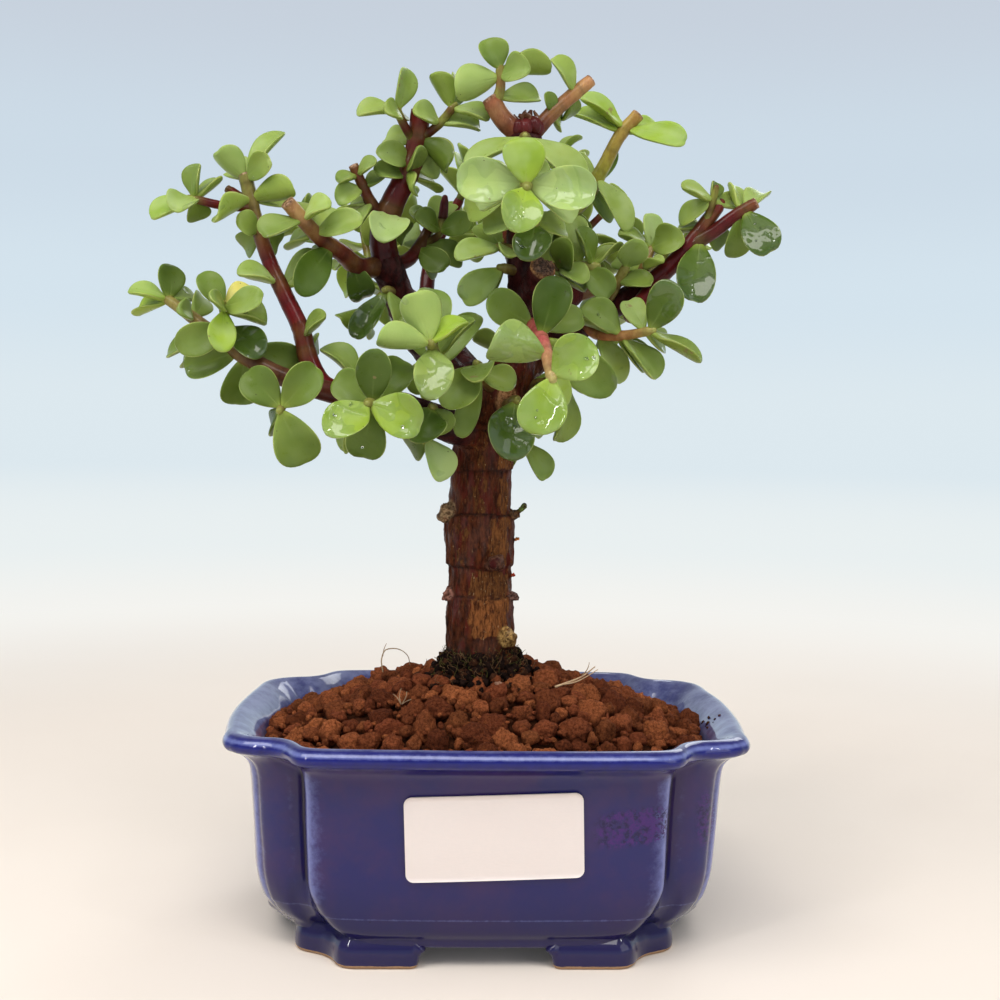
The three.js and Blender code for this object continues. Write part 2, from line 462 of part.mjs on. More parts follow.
/** The pot's outline at an inset from the rim, counter-clockwise from above. */
function potOutline(inset, z) {
  const front = POT.depth / 2 - inset;
  const side = POT.length / 2 - inset;
  const panel = POT.panelHalf - inset / 2;
  const panelEnd = front - POT.bulge;
  const notch = [panel + 1.6, panelEnd - 6.6];
  const corner = [POT.cornerX - inset, POT.cornerY - 0.75 * inset];
  const turn = [corner[0] + 1.4, corner[1] - 3];
  // One quarter, as [x, distance to the front], from the front's middle to the side's.
  const quarter = [
    [0, front], [panel / 2, front - POT.bulge / 4], [panel - 3.2, front - 0.85 * POT.bulge],
    [panel - 1, panelEnd - 0.7], [panel, panelEnd - 2.6], [panel + 0.3, panelEnd - 4.8], notch,
    [corner[0] - 2, corner[1] + 0.8], [corner[0] + 0.1, corner[1] - 0.6], turn,
    [side - 0.4 * (side - turn[0]), 0.63 * turn[1]], [side, 0],
  ];
  const half = [...quarter, ...quarter.slice(0, -1).reverse().map(([x, d]) => [x, -d])];
  const ring = [...half, ...half.slice(1, -1).reverse().map(([x, d]) => [-x, d])];
  return ring.map(([x, d]) => new THREE.Vector3(x, -d, z));
}

/** Inset of a wall at a height, from its [height, inset] list. */
function wallInset(wall, z) {
  const rows = [...wall].sort((a, b) => a[0] - b[0]);
  const above = Math.max(1, rows.findIndex(([height]) => height >= z));
  const [low, high] = [rows[above - 1], rows[above]];
  return THREE.MathUtils.lerp(low[1], high[1], (z - low[0]) / (high[0] - low[0]));
}

/** One L-shaped foot under a corner of the pot; sx and sy are the corner's signs. */
function foot(sx, sy) {
  const w = FOOT.width;
  const outline = [
    [FOOT.frontX, FOOT.frontY], [FOOT.notchX, FOOT.frontY], [FOOT.notchX, FOOT.notchY],
    [FOOT.sideX, FOOT.notchY], [FOOT.sideX, FOOT.backY], [FOOT.sideX - w, FOOT.backY],
    [FOOT.sideX - w, FOOT.notchY - w], [FOOT.notchX - w, FOOT.notchY - w],
    [FOOT.notchX - w, FOOT.frontY - w], [FOOT.frontX, FOOT.frontY - w],
  ].map(([x, y]) => [sx * x, sy * y]);
  if (sx * sy > 0) outline.reverse();
  const centre = [sx * 34, sy * 29];
  const ring = (scale, z) => outline.map(([x, y]) => new THREE.Vector3(
    centre[0] + (x - centre[0]) * scale, centre[1] + (y - centre[1]) * scale, z));
  return loft([ring(0.96, 0), ring(1, 1.2), ring(1, FOOT.height)]);
}

function drainHole(x) {
  const ends = [new THREE.Vector3(x, 0, 0), new THREE.Vector3(x, 0, POT.floorTop + 5)];
  return tube(ends, [DRAIN.radius, DRAIN.radius], 16);
}

function pot() {
  const rings = [...OUTER_WALL, ...CAVITY_WALL].map(([z, inset]) => potOutline(inset, z));
  const feet = [[1, -1], [1, 1], [-1, 1], [-1, -1]].map(([sx, sy]) => foot(sx, sy));
  const holes = [drainHole(-DRAIN.x), drainHole(DRAIN.x)];
  return Manifold.union([loft(rings), ...feet]).subtract(Manifold.union(holes));
}

/** Round plate of plastic mesh over a drain hole; `grow` thickens it all round. */
function drainMesh(x, grow = 0) {
  const low = POT.floorTop + GAP - grow;
  const ends = [low, low + DRAIN.meshThick + 2 * grow].map((z) => new THREE.Vector3(x, 0, z));
  return tube(ends, [DRAIN.meshRadius + grow, DRAIN.meshRadius + grow], 16);
}

/** The blank plant label, bent to the bow of the front panel. */
function label() {
  const { width, height, corner, thick } = LABEL;
  const tilt = THREE.MathUtils.degToRad(LABEL.tilt);
  const edge = width / 2;
  const stations = [-edge, -edge + 0.3 * corner, -edge + corner, -edge / 3, edge / 3,
    edge - corner, edge - 0.3 * corner, edge];
  return loft(stations.map((s) => {
    const into = Math.max(0, Math.abs(s) - (edge - corner));
    const half = height / 2 - corner + Math.sqrt(Math.max(0, corner ** 2 - into ** 2));
    const spot = (h, out) => {
      const x = LABEL.x + s * Math.cos(tilt) - h * Math.sin(tilt);
      const z = LABEL.z + s * Math.sin(tilt) + h * Math.cos(tilt);
      const bow = POT.bulge * (x / POT.panelHalf) ** 2;
      const face = POT.depth / 2 - wallInset(OUTER_WALL, z) - bow;
      return new THREE.Vector3(x, -(face + out), z);
    };
    return [spot(-half, GAP + thick), spot(-half, GAP), spot(half, GAP), spot(half, GAP + thick)];
  }));
}

// ---- Soil ---------------------------------------------------------------------------

/** The pot's cavity less the clearance, open upwards so that it also trims the mound. */
function soilRoom() {
  const room = [...CAVITY_WALL, [90, CAVITY_WALL[0][1]]].sort((a, b) => a[0] - b[0]);
  return loft(room.map(([z, inset]) => potOutline(inset + GAP, Math.max(z, POT.floorTop + GAP))));
}

/** Height of the soil's mound, s from 0 at the trunk to 1 at the pot's wall. */
function moundHeight(s) {
  return SOIL.edge + (SOIL.crown - SOIL.edge) * (1 - s ** 1.5);
}

/** The six corners of a honeycomb cell, as unit directions. */
const CELL_CORNERS = [30, 90, 150, 210, 270, 330].map((degrees) => {
  const angle = THREE.MathUtils.degToRad(degrees);
  return new THREE.Vector3(Math.cos(angle), Math.sin(angle), 0);
});

/** Crumbs of fired clay side by side as a relief: one flat-topped lump per honeycomb cell. */
function crumbBed(halfLength, halfDepth) {
  const random = seededRandom(SEED);
  const { crumb, valley } = SOIL;
  const side = crumb / Math.sqrt(3);
  const points = [];
  const triangles = [];
  const shared = new Map();
  const heightAt = (x, y) => moundHeight(Math.min(1, Math.hypot(x / halfLength, y / halfDepth)));
  const addPoint = (x, y, rise) => points.push(new THREE.Vector3(x, y, heightAt(x, y) + rise)) - 1;
  const valleyPoint = (x, y) => {
    const key = `${Math.round((2 * x) / crumb)},${Math.round((2 * y) / side)}`;
    if (!shared.has(key)) {
      const shift = () => 0.16 * crumb * (random() - 0.5);
      shared.set(key, addPoint(x + shift(), y + shift(), -valley * (0.6 + 0.8 * random())));
    }
    return shared.get(key);
  };
  const rows = Math.ceil(halfDepth / (1.5 * side)) + 1;
  const columns = Math.ceil(halfLength / crumb) + 1;
  for (let row = -rows; row <= rows; row++) {
    for (let column = -columns; column <= columns; column++) {
      const x = crumb * (column + (row % 2 === 0 ? 0 : 0.5));
      const y = 1.5 * side * row;
      const lift = 1.4 * random();
      const outer = CELL_CORNERS.map(({ x: u, y: v }) => valleyPoint(x + side * u, y + side * v));
      const inner = CELL_CORNERS.map(({ x: u, y: v }) => {
        const reach = side * (0.5 + 0.3 * random());
        return addPoint(x + reach * u, y + reach * v, lift + 0.8 * random());
      });
      const top = addPoint(x, y, lift + 1.1);
      for (let i = 0; i < 6; i++) {
        const k = (i + 1) % 6;
        triangles.push([top, inner[i], inner[k]]);
        triangles.push([inner[i], outer[i], outer[k]], [inner[i], outer[k], inner[k]]);
      }
    }
  }
  return closedBelow(points, triangles, POT.floorTop);
}

/** Closes a sheet that faces up with a skirt along its edge down to a flat floor. */
function closedBelow(points, triangles, floor) {
  const ways = new Set(triangles.flatMap(([a, b, c]) => [`${a},${b}`, `${b},${c}`, `${c},${a}`]));
  const both = [...ways].map((way) => way.split(',').map(Number));
  const edge = both.filter(([a, b]) => !ways.has(`${b},${a}`));
  const centre = points.push(new THREE.Vector3(0, 0, floor)) - 1;
  const below = new Map(edge.map(([a]) => [a, points.push(points[a].clone().setZ(floor)) - 1]));
  for (const [a, b] of edge) {
    triangles.push([b, a, below.get(a)], [b, below.get(a), below.get(b)]);
    triangles.push([centre, below.get(b), below.get(a)]);
  }
  return solid(points, triangles);
}

function soil(wood) {
  const inset = wallInset(CAVITY_WALL, SOIL.edge);
  const bed = crumbBed(POT.length / 2 - inset, POT.depth / 2 - inset);
  const meshes = [-DRAIN.x, DRAIN.x].map((x) => drainMesh(x, GAP));
  const filled = bed.intersect(soilRoom()).subtract(Manifold.union([...meshes, wood]));
  return largestBody(filled.simplify(SOIL.fineness));
}

// ---- Wood ---------------------------------------------------------------------------

/** Trunk and main limbs in one piece; `grow` thickens them all round. */
function wood(grow = 0) {
  const limbs = LIMBS.map(([name, rows]) => {
    const sides = name === 'trunk' ? 12 : 7;
    return tube(rows.map((row) => place(row.slice(1))), rows.map((row) => row[0] + grow), sides);
  });
  const knobs = KNOBS.map(([radius, root, end]) => (
    tube([place(root), place(end)], [radius + grow, 0.8 * radius + grow], 7)));
  return Manifold.union([...limbs, ...knobs]);
}

// ---- Leaves -------------------------------------------------------------------------

// A leaf's outline is t^ROOT_POWER (1 - t)^TIP_POWER, which peaks at OUTLINE_PEAK.
const ROOT_POWER = 0.9;
const TIP_POWER = 0.45;
const OUTLINE_PEAK = 0.4235;
const CUP = 0.16;      // how far the rim rises over the midrib, as a share of the width
const ARCH = 0.1;      // how far the tip bends back, as a share of the length

/** Half-width of a leaf at t from root (0) to tip (1), as a share of its widest. */
function leafOutline(t) {
  return (t ** ROOT_POWER * (1 - t) ** TIP_POWER) / OUTLINE_PEAK;
}

/** Height of a leaf's middle surface over its chord, share being the way out to the rim. */
function leafRise(leaf, t, share) {
  return CUP * leaf.width * share ** 2 - ARCH * leaf.length * t * t;
}

/** A point of a leaf: t along it, s across it from -1 to 1 of its half-width, h off it. */
function leafPoint(leaf, t, s, h = 0) {
  const across = leaf.normal.clone().cross(leaf.along);
  const share = s * leafOutline(t);
  return leaf.root.clone()
    .addScaledVector(leaf.along, leaf.length * t)
    .addScaledVector(across, (leaf.width / 2) * share)
    .addScaledVector(leaf.normal, leafRise(leaf, t, share) + h);
}

// Rim and midrib stations of a leaf, and the triangles of one side of it: the rim's points
// come first, from the root round by the tip, then those of the midrib.
const LARGE_LEAF_FACES = {
  rim: [0.3, 0.62, 0.88],
  ribs: [0.3, 0.68],
  side: [[0, 1, 8], [1, 2, 8], [2, 9, 8], [2, 3, 9], [3, 4, 9], [4, 5, 9], [5, 6, 9], [6, 8, 9],
    [6, 7, 8],
    [7, 0, 8]],
};
const SMALL_LEAF_FACES = {
  rim: [0.36, 0.8],
  ribs: [0.5],
  side: [[0, 1, 6], [1, 2, 6], [2, 3, 6], [3, 4, 6], [4, 5, 6], [5, 0, 6]],
};

/** A fleshy leaf: a lens-shaped blade on a narrow root, cupped and bent back. */
function leafSolid(leaf) {
  const { rim, ribs, side } = leaf.width < LARGE_LEAF ? SMALL_LEAF_FACES : LARGE_LEAF_FACES;
  const right = rim.map((t) => leafPoint(leaf, t, 1));
  const left = rim.map((t) => leafPoint(leaf, t, -1)).reverse();
  const ring = [leafPoint(leaf, 0, 0), ...right, leafPoint(leaf, 1, 0), ...left];
  const above = ribs.map((t) => leafPoint(leaf, t, 0, LEAF_THICK / 2));
  const below = ribs.map((t) => leafPoint(leaf, t, 0, -LEAF_THICK / 2));
  const upper = side.map(([a, b, c]) => [a, c, b]);
  const lower = side.map((face) => face.map((i) => (i < ring.length ? i : i + ribs.length)));
  return solid([...ring, ...above, ...below], [...upper, ...lower]);
}

/** Leaf from its root and tip; turn rolls its face from the eye up to the sky. */
function leafTowards(spray, root, tip, turn, width) {
  const along = tip.clone().sub(root);
  const length = along.length();
  along.normalize();
  const face = EYE.clone().sub(root).normalize();
  face.addScaledVector(along, -face.dot(along)).normalize();
  const up = along.clone().cross(face);
  const lean = Math.abs(along.x) > 0.35 ? up.z : up.x;
  if (lean < 0) up.negate();
  const angle = THREE.MathUtils.degToRad(turn);
  const normal = face.multiplyScalar(Math.cos(angle)).addScaledVector(up, Math.sin(angle));
  return { spray, root, along, normal, length, width };
}

/** Leaves of a shoot by the plant's own rule: opposite pairs, each crossing the last. */
function pairedLeaves(spray, [rootPlace, tipPlace, pairs, length, turn], random) {
  const root = place(rootPlace);
  const tip = place(tipPlace);
  const along = tip.clone().sub(root).normalize();
  const first = Math.abs(along.x) < 0.8 ? new THREE.Vector3(1, 0, 0) : new THREE.Vector3(0, 1, 0);
  first.addScaledVector(along, -first.dot(along)).normalize();
  const second = along.clone().cross(first);
  const leaves = [];
  for (let pair = 0; pair < pairs; pair++) {
    const last = pair === pairs - 1;
    const at = root.clone().lerp(tip, pairs === 1 ? 1 : 0.25 + (0.75 * pair) / (pairs - 1));
    for (const side of [0, 180]) {
      const around = THREE.MathUtils.degToRad(turn + 90 * pair + side + 24 * (random() - 0.5));
      const lift = THREE.MathUtils.degToRad((last ? 42 : 22) + 24 * (random() - 0.5));
      const size = length * (last ? 0.86 : 1) * (0.9 + 0.2 * random());
      const out = first.clone().multiplyScalar(Math.cos(around));
      out.addScaledVector(second, Math.sin(around));
      leaves.push({
        spray,
        root: at,
        along: out.clone().multiplyScalar(Math.cos(lift)).addScaledVector(along, Math.sin(lift)),
        normal: along.clone().multiplyScalar(Math.cos(lift)).addScaledVector(out, -Math.sin(lift)),
        length: size,
        width: size * (0.7 + 0.08 * random()),
      });
    }
  }
  return leaves;
}

// ---- Keeping leaves clear of each other ---------------------------------------------

/** Sample points over a leaf's blade, its root left out. */
function bladeSamples(leaf) {
  const samples = [];
  for (const t of [0.35, 0.55, 0.75, 0.92]) {
    for (const s of [-0.95, -0.4, 0.4, 0.95]) samples.push(leafPoint(leaf, t, s));
  }
  samples.push(leafPoint(leaf, 1, 0));
  return samples;
}

/** How many points lie in the slab of a leaf's blade, thickened by the clearance. */
function pointsInBlade(points, leaf) {
  const across = leaf.normal.clone().cross(leaf.along);
  let count = 0;
  for (const point of points) {
    const offset = point.clone().sub(leaf.root);
    const t = offset.dot(leaf.along) / leaf.length;
    if (t < 0.12 || t > 1.04) continue;
    const share = offset.dot(across) / (leaf.width / 2);
    if (Math.abs(share) > leafOutline(Math.min(t, 0.96)) + 0.12) continue;
    const height = offset.dot(leaf.normal) - leafRise(leaf, t, share);
    if (Math.abs(height) < BLADE_CLEARANCE) count++;
  }
  return count;
}

/** How many of a leaf's samples lie in a stem, {spray, a, b, radius}. */
function pointsInStem(samples, leaf, stem) {
  const line = new THREE.Line3(stem.a, stem.b);
  const near = new THREE.Vector3();
  const start = stem.spray === leaf.spray ? 4 : 0;
  let count = 0;
  for (const point of samples.slice(start)) {
    line.closestPointToPoint(point, true, near);
    if (near.distanceTo(point) < stem.radius + STEM_CLEARANCE) count++;
  }
  return count;
}

function clashes(leaf, placed, stems) {
  const samples = bladeSamples(leaf);
  let count = 0;
  for (const other of placed) {
    const reach = leaf.length + other.length + BLADE_CLEARANCE;
    if (leaf.root.distanceTo(other.root) > reach) continue;
    count += pointsInBlade(samples, other) + pointsInBlade(other.samples, leaf);
  }
  for (const stem of stems) {
    const reach = leaf.length + stem.a.distanceTo(stem.b) + stem.radius + STEM_CLEARANCE;
    if (leaf.root.distanceTo(stem.a) < reach) count += pointsInStem(samples, leaf, stem);
  }
  return count;
}

/** The leaf bent up or down, rolled about its length and made smaller. */
function bentLeaf(leaf, bend, roll, scale) {
  const across = leaf.normal.clone().cross(leaf.along);
  const bent = THREE.MathUtils.degToRad(bend);
  const along = leaf.along.clone().applyAxisAngle(across, -bent);
  const normal = leaf.normal.clone().applyAxisAngle(across, -bent);
  normal.applyAxisAngle(along, THREE.MathUtils.degToRad(roll));
  return { ...leaf, along, normal, length: leaf.length * scale, width: leaf.width * scale };
}

/** Bends each leaf clear of the stems and of the leaves placed before it. */
function settledLeaves(leaves, stems) {
  const placed = [];
  for (const leaf of leaves) {
    let best = null;
    for (const scale of [1, 0.86, 0.72]) {
      for (const [bend, roll] of BENDS) {
        if (best && best.count === 0) break;
        const tried = bentLeaf(leaf, bend, roll, scale);
        const count = clashes(tried, placed, stems);
        if (!best || count < best.count) best = { count, leaf: tried };
      }
    }
    if (best.count > MOST_CLASHES) continue;
    placed.push({ ...best.leaf, samples: bladeSamples(best.leaf) });
  }
  return placed;
}

// ---- Leafy stems --------------------------------------------------------------------

/** Stems of a spray as tapered point rows, each ending in a short bud. */
function sprayStems(rows) {
  return rows.map(([rootRadius, endRadius, places]) => {
    const points = places.map(place);
    const last = points.length - 1;
    const radii = points.map((_, i) => THREE.MathUtils.lerp(rootRadius, endRadius, i / last));
    const ahead = points[last].clone().sub(points[last - 1]).normalize();
    points.push(points[last].clone().addScaledVector(ahead, BUD_LENGTH));
    radii.push(0.7 * endRadius);
    return { points, radii };
  });
}

/** The nearest point to a given one on the middle lines of some stems. */
function nearestOnStems(point, stems) {
  const near = new THREE.Vector3();
  let best = null;
  for (const { points } of stems) {
    for (let i = 1; i < points.length; i++) {
      new THREE.Line3(points[i - 1], points[i]).closestPointToPoint(point, true, near);
      if (!best || near.distanceTo(point) < best.distanceTo(point)) best = near.clone();
    }
  }
  return best;
}

function stemSolid(stems, grow = 0) {
  return Manifold.union(stems.map(({ points, radii }) => {
    const sides = radii[0] > STOUT_STEM ? 6 : 4;
    return tube(points, radii.map((radius) => radius + grow), sides);
  }));
}

/** Every leafy stem by name, with its stems and its leaves as first laid out. */
function layOutSprays() {
  const random = seededRandom(SEED + 1);
  const front = SPRAYS.map(([name, rows, tufts]) => {
    const stems = sprayStems(rows);
    const leaves = tufts.flatMap(([x, z, y, tips]) => {
      const root = nearestOnStems(place([x, z, y]), stems);
      return tips.map((tip) => leafTowards(name, root, place(tip.slice(0, 3)), tip[3], tip[4]));
    });
    return { name, stems, leaves };
  });
  const back = BACK_SPRAYS.map(([name, row, shoots]) => ({
    name,
    stems: sprayStems([row, ...shoots.map(([root, tip]) => [1.3, 1, [root, tip]])]),
    leaves: shoots.flatMap((shoot) => pairedLeaves(name, shoot, random)),
  }));
  return [...front, ...back];
}

/** Straight pieces of all the wood, as {spray, a, b, radius}, for keeping leaves clear. */
function stemPieces(sprays) {
  const rows = LIMBS.map(([, limb]) => ({
    spray: 'wood',
    points: limb.map((row) => place(row.slice(1))),
    radii: limb.map((row) => row[0]),
  }));
  for (const { name, stems } of sprays) {
    for (const { points, radii } of stems) rows.push({ spray: name, points, radii });
  }
  return rows.flatMap(({ spray, points, radii }) => points.slice(1).map((b, i) => {
    const radius = Math.max(radii[i], radii[i + 1]);
    return { spray, a: points[i], b, radius };
  }));
}

/** Each spray as one fused solid, kept clear of the wood and of the stems before it. */
function spraySolids() {
  const sprays = layOutSprays();
  const leaves = settledLeaves(sprays.flatMap((spray) => spray.leaves), stemPieces(sprays));
  let taken = wood(GAP);
  return sprays.map(({ name, stems }) => {
    const own = leaves.filter((leaf) => leaf.spray === name);
    const fused = Manifold.union([stemSolid(stems), ...own.map(leafSolid)]).simplify(FINENESS);
    const cut = largestBody(fused.subtract(taken).simplify(FINENESS / 4));
    taken = taken.add(stemSolid(stems, GAP));
    return [name, cut];
  });
}

// ---- The scene graph ----------------------------------------------------------------

/** Named mesh of a solid. */
function meshOf(name, shape, colour, roughness) {
  const { vertProperties, triVerts } = shape.getMesh();
  const geometry = new THREE.BufferGeometry();
  geometry.setAttribute('position', new THREE.BufferAttribute(new Float32Array(vertProperties), 3));
  geometry.setIndex(new THREE.BufferAttribute(new Uint32Array(triVerts), 1));
  geometry.computeVertexNormals();
  const material = new THREE.MeshStandardMaterial({ color: colour, roughness, metalness: 0 });
  const mesh = new THREE.Mesh(geometry, material);
  mesh.name = name;
  return mesh;
}

const group = new THREE.Group();
group.add(meshOf('pot', pot(), 0x3a3a78, 0.15));
group.add(meshOf('drain_mesh_left', drainMesh(-DRAIN.x), 0x2c2c2c, 0.6));
group.add(meshOf('drain_mesh_right', drainMesh(DRAIN.x), 0x2c2c2c, 0.6));
group.add(meshOf('soil', soil(wood(GAP)), 0x6b3a24, 0.95));
group.add(meshOf('label', label(), 0xf4f3f0, 0.4));
group.add(meshOf('trunk', wood(), 0x5a2f20, 0.8));
for (const [name, shape] of spraySolids()) group.add(meshOf(name, shape, 0x6d9440, 0.4));

// The origin is under the middle of the whole part's outer box.
const box = new THREE.Box3().setFromObject(group);
const middle = box.getCenter(new THREE.Vector3());
for (const mesh of group.children) mesh.position.set(-middle.x, -middle.y, 0);

export default group;
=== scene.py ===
"""Looks of the dwarf jade bonsai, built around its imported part.

Lengths are millimetres in the pot's own frame: x = y = 0 is the pot's centre, the feet stand
on z = 0 and the labelled front faces -Y. `mesh_object` turns them into the part's metres.
"""
import math

import bpy
import numpy as np
from mathutils import Matrix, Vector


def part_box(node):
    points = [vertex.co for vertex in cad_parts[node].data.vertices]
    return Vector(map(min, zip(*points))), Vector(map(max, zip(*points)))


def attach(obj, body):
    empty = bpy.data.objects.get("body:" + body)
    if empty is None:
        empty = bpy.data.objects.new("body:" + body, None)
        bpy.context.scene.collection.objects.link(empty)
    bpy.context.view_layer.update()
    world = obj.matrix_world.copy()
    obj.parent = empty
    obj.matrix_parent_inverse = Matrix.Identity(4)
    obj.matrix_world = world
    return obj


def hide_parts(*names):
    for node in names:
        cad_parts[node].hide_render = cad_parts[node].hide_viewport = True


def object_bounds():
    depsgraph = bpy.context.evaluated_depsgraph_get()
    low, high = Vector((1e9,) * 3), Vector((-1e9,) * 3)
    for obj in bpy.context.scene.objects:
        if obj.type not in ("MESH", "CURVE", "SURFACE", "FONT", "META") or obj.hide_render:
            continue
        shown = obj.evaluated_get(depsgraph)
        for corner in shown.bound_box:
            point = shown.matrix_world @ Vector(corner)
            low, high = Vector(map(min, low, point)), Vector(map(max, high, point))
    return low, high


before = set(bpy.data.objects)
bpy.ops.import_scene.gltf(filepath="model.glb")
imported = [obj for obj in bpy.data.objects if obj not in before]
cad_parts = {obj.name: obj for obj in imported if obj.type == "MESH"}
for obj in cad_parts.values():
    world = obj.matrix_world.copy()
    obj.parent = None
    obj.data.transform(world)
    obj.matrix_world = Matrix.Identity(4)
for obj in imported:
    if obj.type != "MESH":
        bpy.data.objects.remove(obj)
CAD_BOX = [list(corner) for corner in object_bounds()]
MM = 0.001
_low, _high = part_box("pot")
POT_CENTRE = np.array([(_low[0] + _high[0]) / 2, (_low[1] + _high[1]) / 2, 0.0])

# ---- Driving dimensions, as in the part -----------------------------------------------------

POT = dict(length=140, depth=110, panel=48.7, corner=(65.8, 38.2), bulge=1.4, floor_top=9.6)
# Wall from the underside up over the lip, then down inside: (height, inset from the rim).
POT_WALL = [
    (5.0, 20), (5.0, 15.5), (5.02, 12.8), (5.2, 11.6), (5.7, 10.95), (6.4, 10.8), (7.1, 10.85),
    (7.7, 10.65), (8.4, 10.15), (9.3, 9.6), (11, 9.1), (12.5, 8.82), (13.1, 8.64), (14.2, 8.56),
    (18, 8.3), (24, 7.9), (32, 7.4), (40, 6.95), (44, 6.72), (46.5, 6.45), (48.5, 6.0), (50, 5.2),
    (51.2, 4.1), (52.1, 2.8), (52.7, 1.5), (53.2, 0.7), (53.9, 0.25), (54.7, 0.12), (55.4, 0.36),
    (56.15, 0.85), (56.8, 1.6), (57.2, 2.5), (57.1, 3.6), (56.4, 5.1), (55.2, 6.8), (53.4, 8.4),
    (51.4, 9.7), (48, 10.7), (40, 11.4), (24, 12.1), (14, 12.9), (10.2, 15), (9.6, 18),
]
CAVITY_WALL = [(9.6, 16), (14, 12.8), (44, 11.2), (50.6, 10), (54.6, 7.4), (57, 4.8)]
FOOT = dict(width=8.4, front_x=16.8, notch_x=35.6, side_x=48.9,
            front_y=44.7, notch_y=30.6, back_y=12.8)
DRAIN = dict(x=26, radius=5.5, mesh=9)
LABEL = dict(width=44, height=21.6, thick=0.5, corner=2, x=1.6, z=34.7, tilt=2, gap=0.3)
SOIL = dict(edge=51, crown=69)
SEED = 20
LEAF_THICK = 2
BUD_LENGTH = 1.4
BLADE_CLEARANCE = 1.9
STEM_CLEARANCE = 1.1
CLOSE_CLEARANCE = (1.1, 0.4)
# A leaf is bent and rolled by the first of these pairs of degrees that clears its neighbours.
BENDS = [
    (0, 0), (8, 0), (-8, 0), (16, 0), (-16, 0), (0, 20), (0, -20), (26, 0),
    (-26, 0), (14, 25), (14, -25), (-14, 25), (-14, -25), (38, 0), (-38, 0),
]

# ---- The tree, as in the part ---------------------------------------------------------------
# Places are [x, z, y]: where the point lines up on the plane of the trunk for an eye at EYE,
# and how far it lies behind that plane (before it, if negative).

EYE = np.array([-9.1, -385.0, 139.5])

# Trunk and main limbs: [radius, x, z, y] along each.
LIMBS = [
  ['trunk', [
    [9.6, -1.5, 60, 0], [9.3, -1.7, 76, 0], [9.0, -2.0, 98, 0], [8.7, -2.2, 118, 0],
    [8.4, -1.2, 130, 0], [7.8, 1.8, 141, 0], [6.2, 5.8, 151, -1], [4.4, 8.8, 160, -2],
    [3.8, 8.4, 172, -3], [3.6, 7.6, 185, -4], [3.5, 8.0, 200, -5], [4.3, 8.7, 211, -6],
    [4.5, 8.8, 216, -6]]],
  ['stub', [[3.4, 8.6, 166, -3], [3.5, 11.5, 173, -8], [3.6, 14.2, 178.6, -14]]],
  ['high left', [
    [5.2, 0, 140, 1], [4.6, -12, 150, 10], [4.2, -22, 162, 12], [4.2, -25.5, 171, 9],
    [4.6, -28.5, 178, 6]]],
  ['low left', [[4.8, -1, 131, -3], [4.4, -14, 136, -12], [3.8, -27, 140.5, -18],
    [3.2, -40, 142.6, -19]]],
  ['right', [[4.8, 4, 147, 1], [4.2, 15, 156, 6], [3.8, 28, 165, 8], [3.3, 40, 172, 6]]],
  ['back left', [[4.6, 0, 143, 3], [3.6, -9, 154, 24], [2.8, -18, 167, 38]]],
  ['back right', [[4.4, 4, 150, 3], [3.4, 12, 161, 22], [2.7, 23, 171, 38]]],
]
# Knobs left on the trunk by old shoots: [radius, root, end, colour].
KNOBS = [
  [2.5, [-8.6, 111.0, -2], [-11.5, 111.4, -3], (0.26, 0.17, 0.09)],
  [1.2, [5.6, 110.2, -2], [8.0, 110.8, -3], (0.13, 0.065, 0.03)],
  [1.1, [8.0, 111.2, -3], [9.8, 112.8, -3], (0.13, 0.19, 0.045)],
  [1.6, [-9.2, 88.2, -3], [-10.9, 88.4, -4], (0.24, 0.11, 0.08)],
  [1.6, [5.8, 88, -3], [7.9, 88, -4], (0.13, 0.07, 0.055)],
  [2.1, [1.8, 96.4, -7], [2.4, 97.2, -11.6], (0.10, 0.045, 0.028)],
  [2.4, [4.6, 75.6, -5], [6.8, 76.8, -9], (0.34, 0.21, 0.07)],
  [0.6, [6.6, 93.2, -4], [7.6, 94.0, -4.6], (0.36, 0.045, 0.020)],
  [0.5, [7.6, 103.4, -2], [8.5, 104.2, -2], (0.55, 0.19, 0.05)],
]
# Worn patches on the front of the trunk: [x from, x to, z from, z to, share of ochre, gold].
WORN_PATCHES = [
  [-4.6, 5.3, 78.5, 88.3, 0.9, 1.0], [-4.8, 5.4, 88.9, 95.6, 0.8, 0.25], [0.5, 5.4, 97.4, 110.4, 0.62, 0.5],
  [-9.5, -5.0, 98, 109, 0.36, 0.1], [-4.6, -0.6, 111.6, 122, 0.50, 0.15], [3.2, 5.6, 111.4, 122, 0.62, 0.5],
  [-3.4, -1.0, 123, 134, 0.5, 0.4], [3.0, 7.0, 123.2, 134, 0.7, 0.6],
]

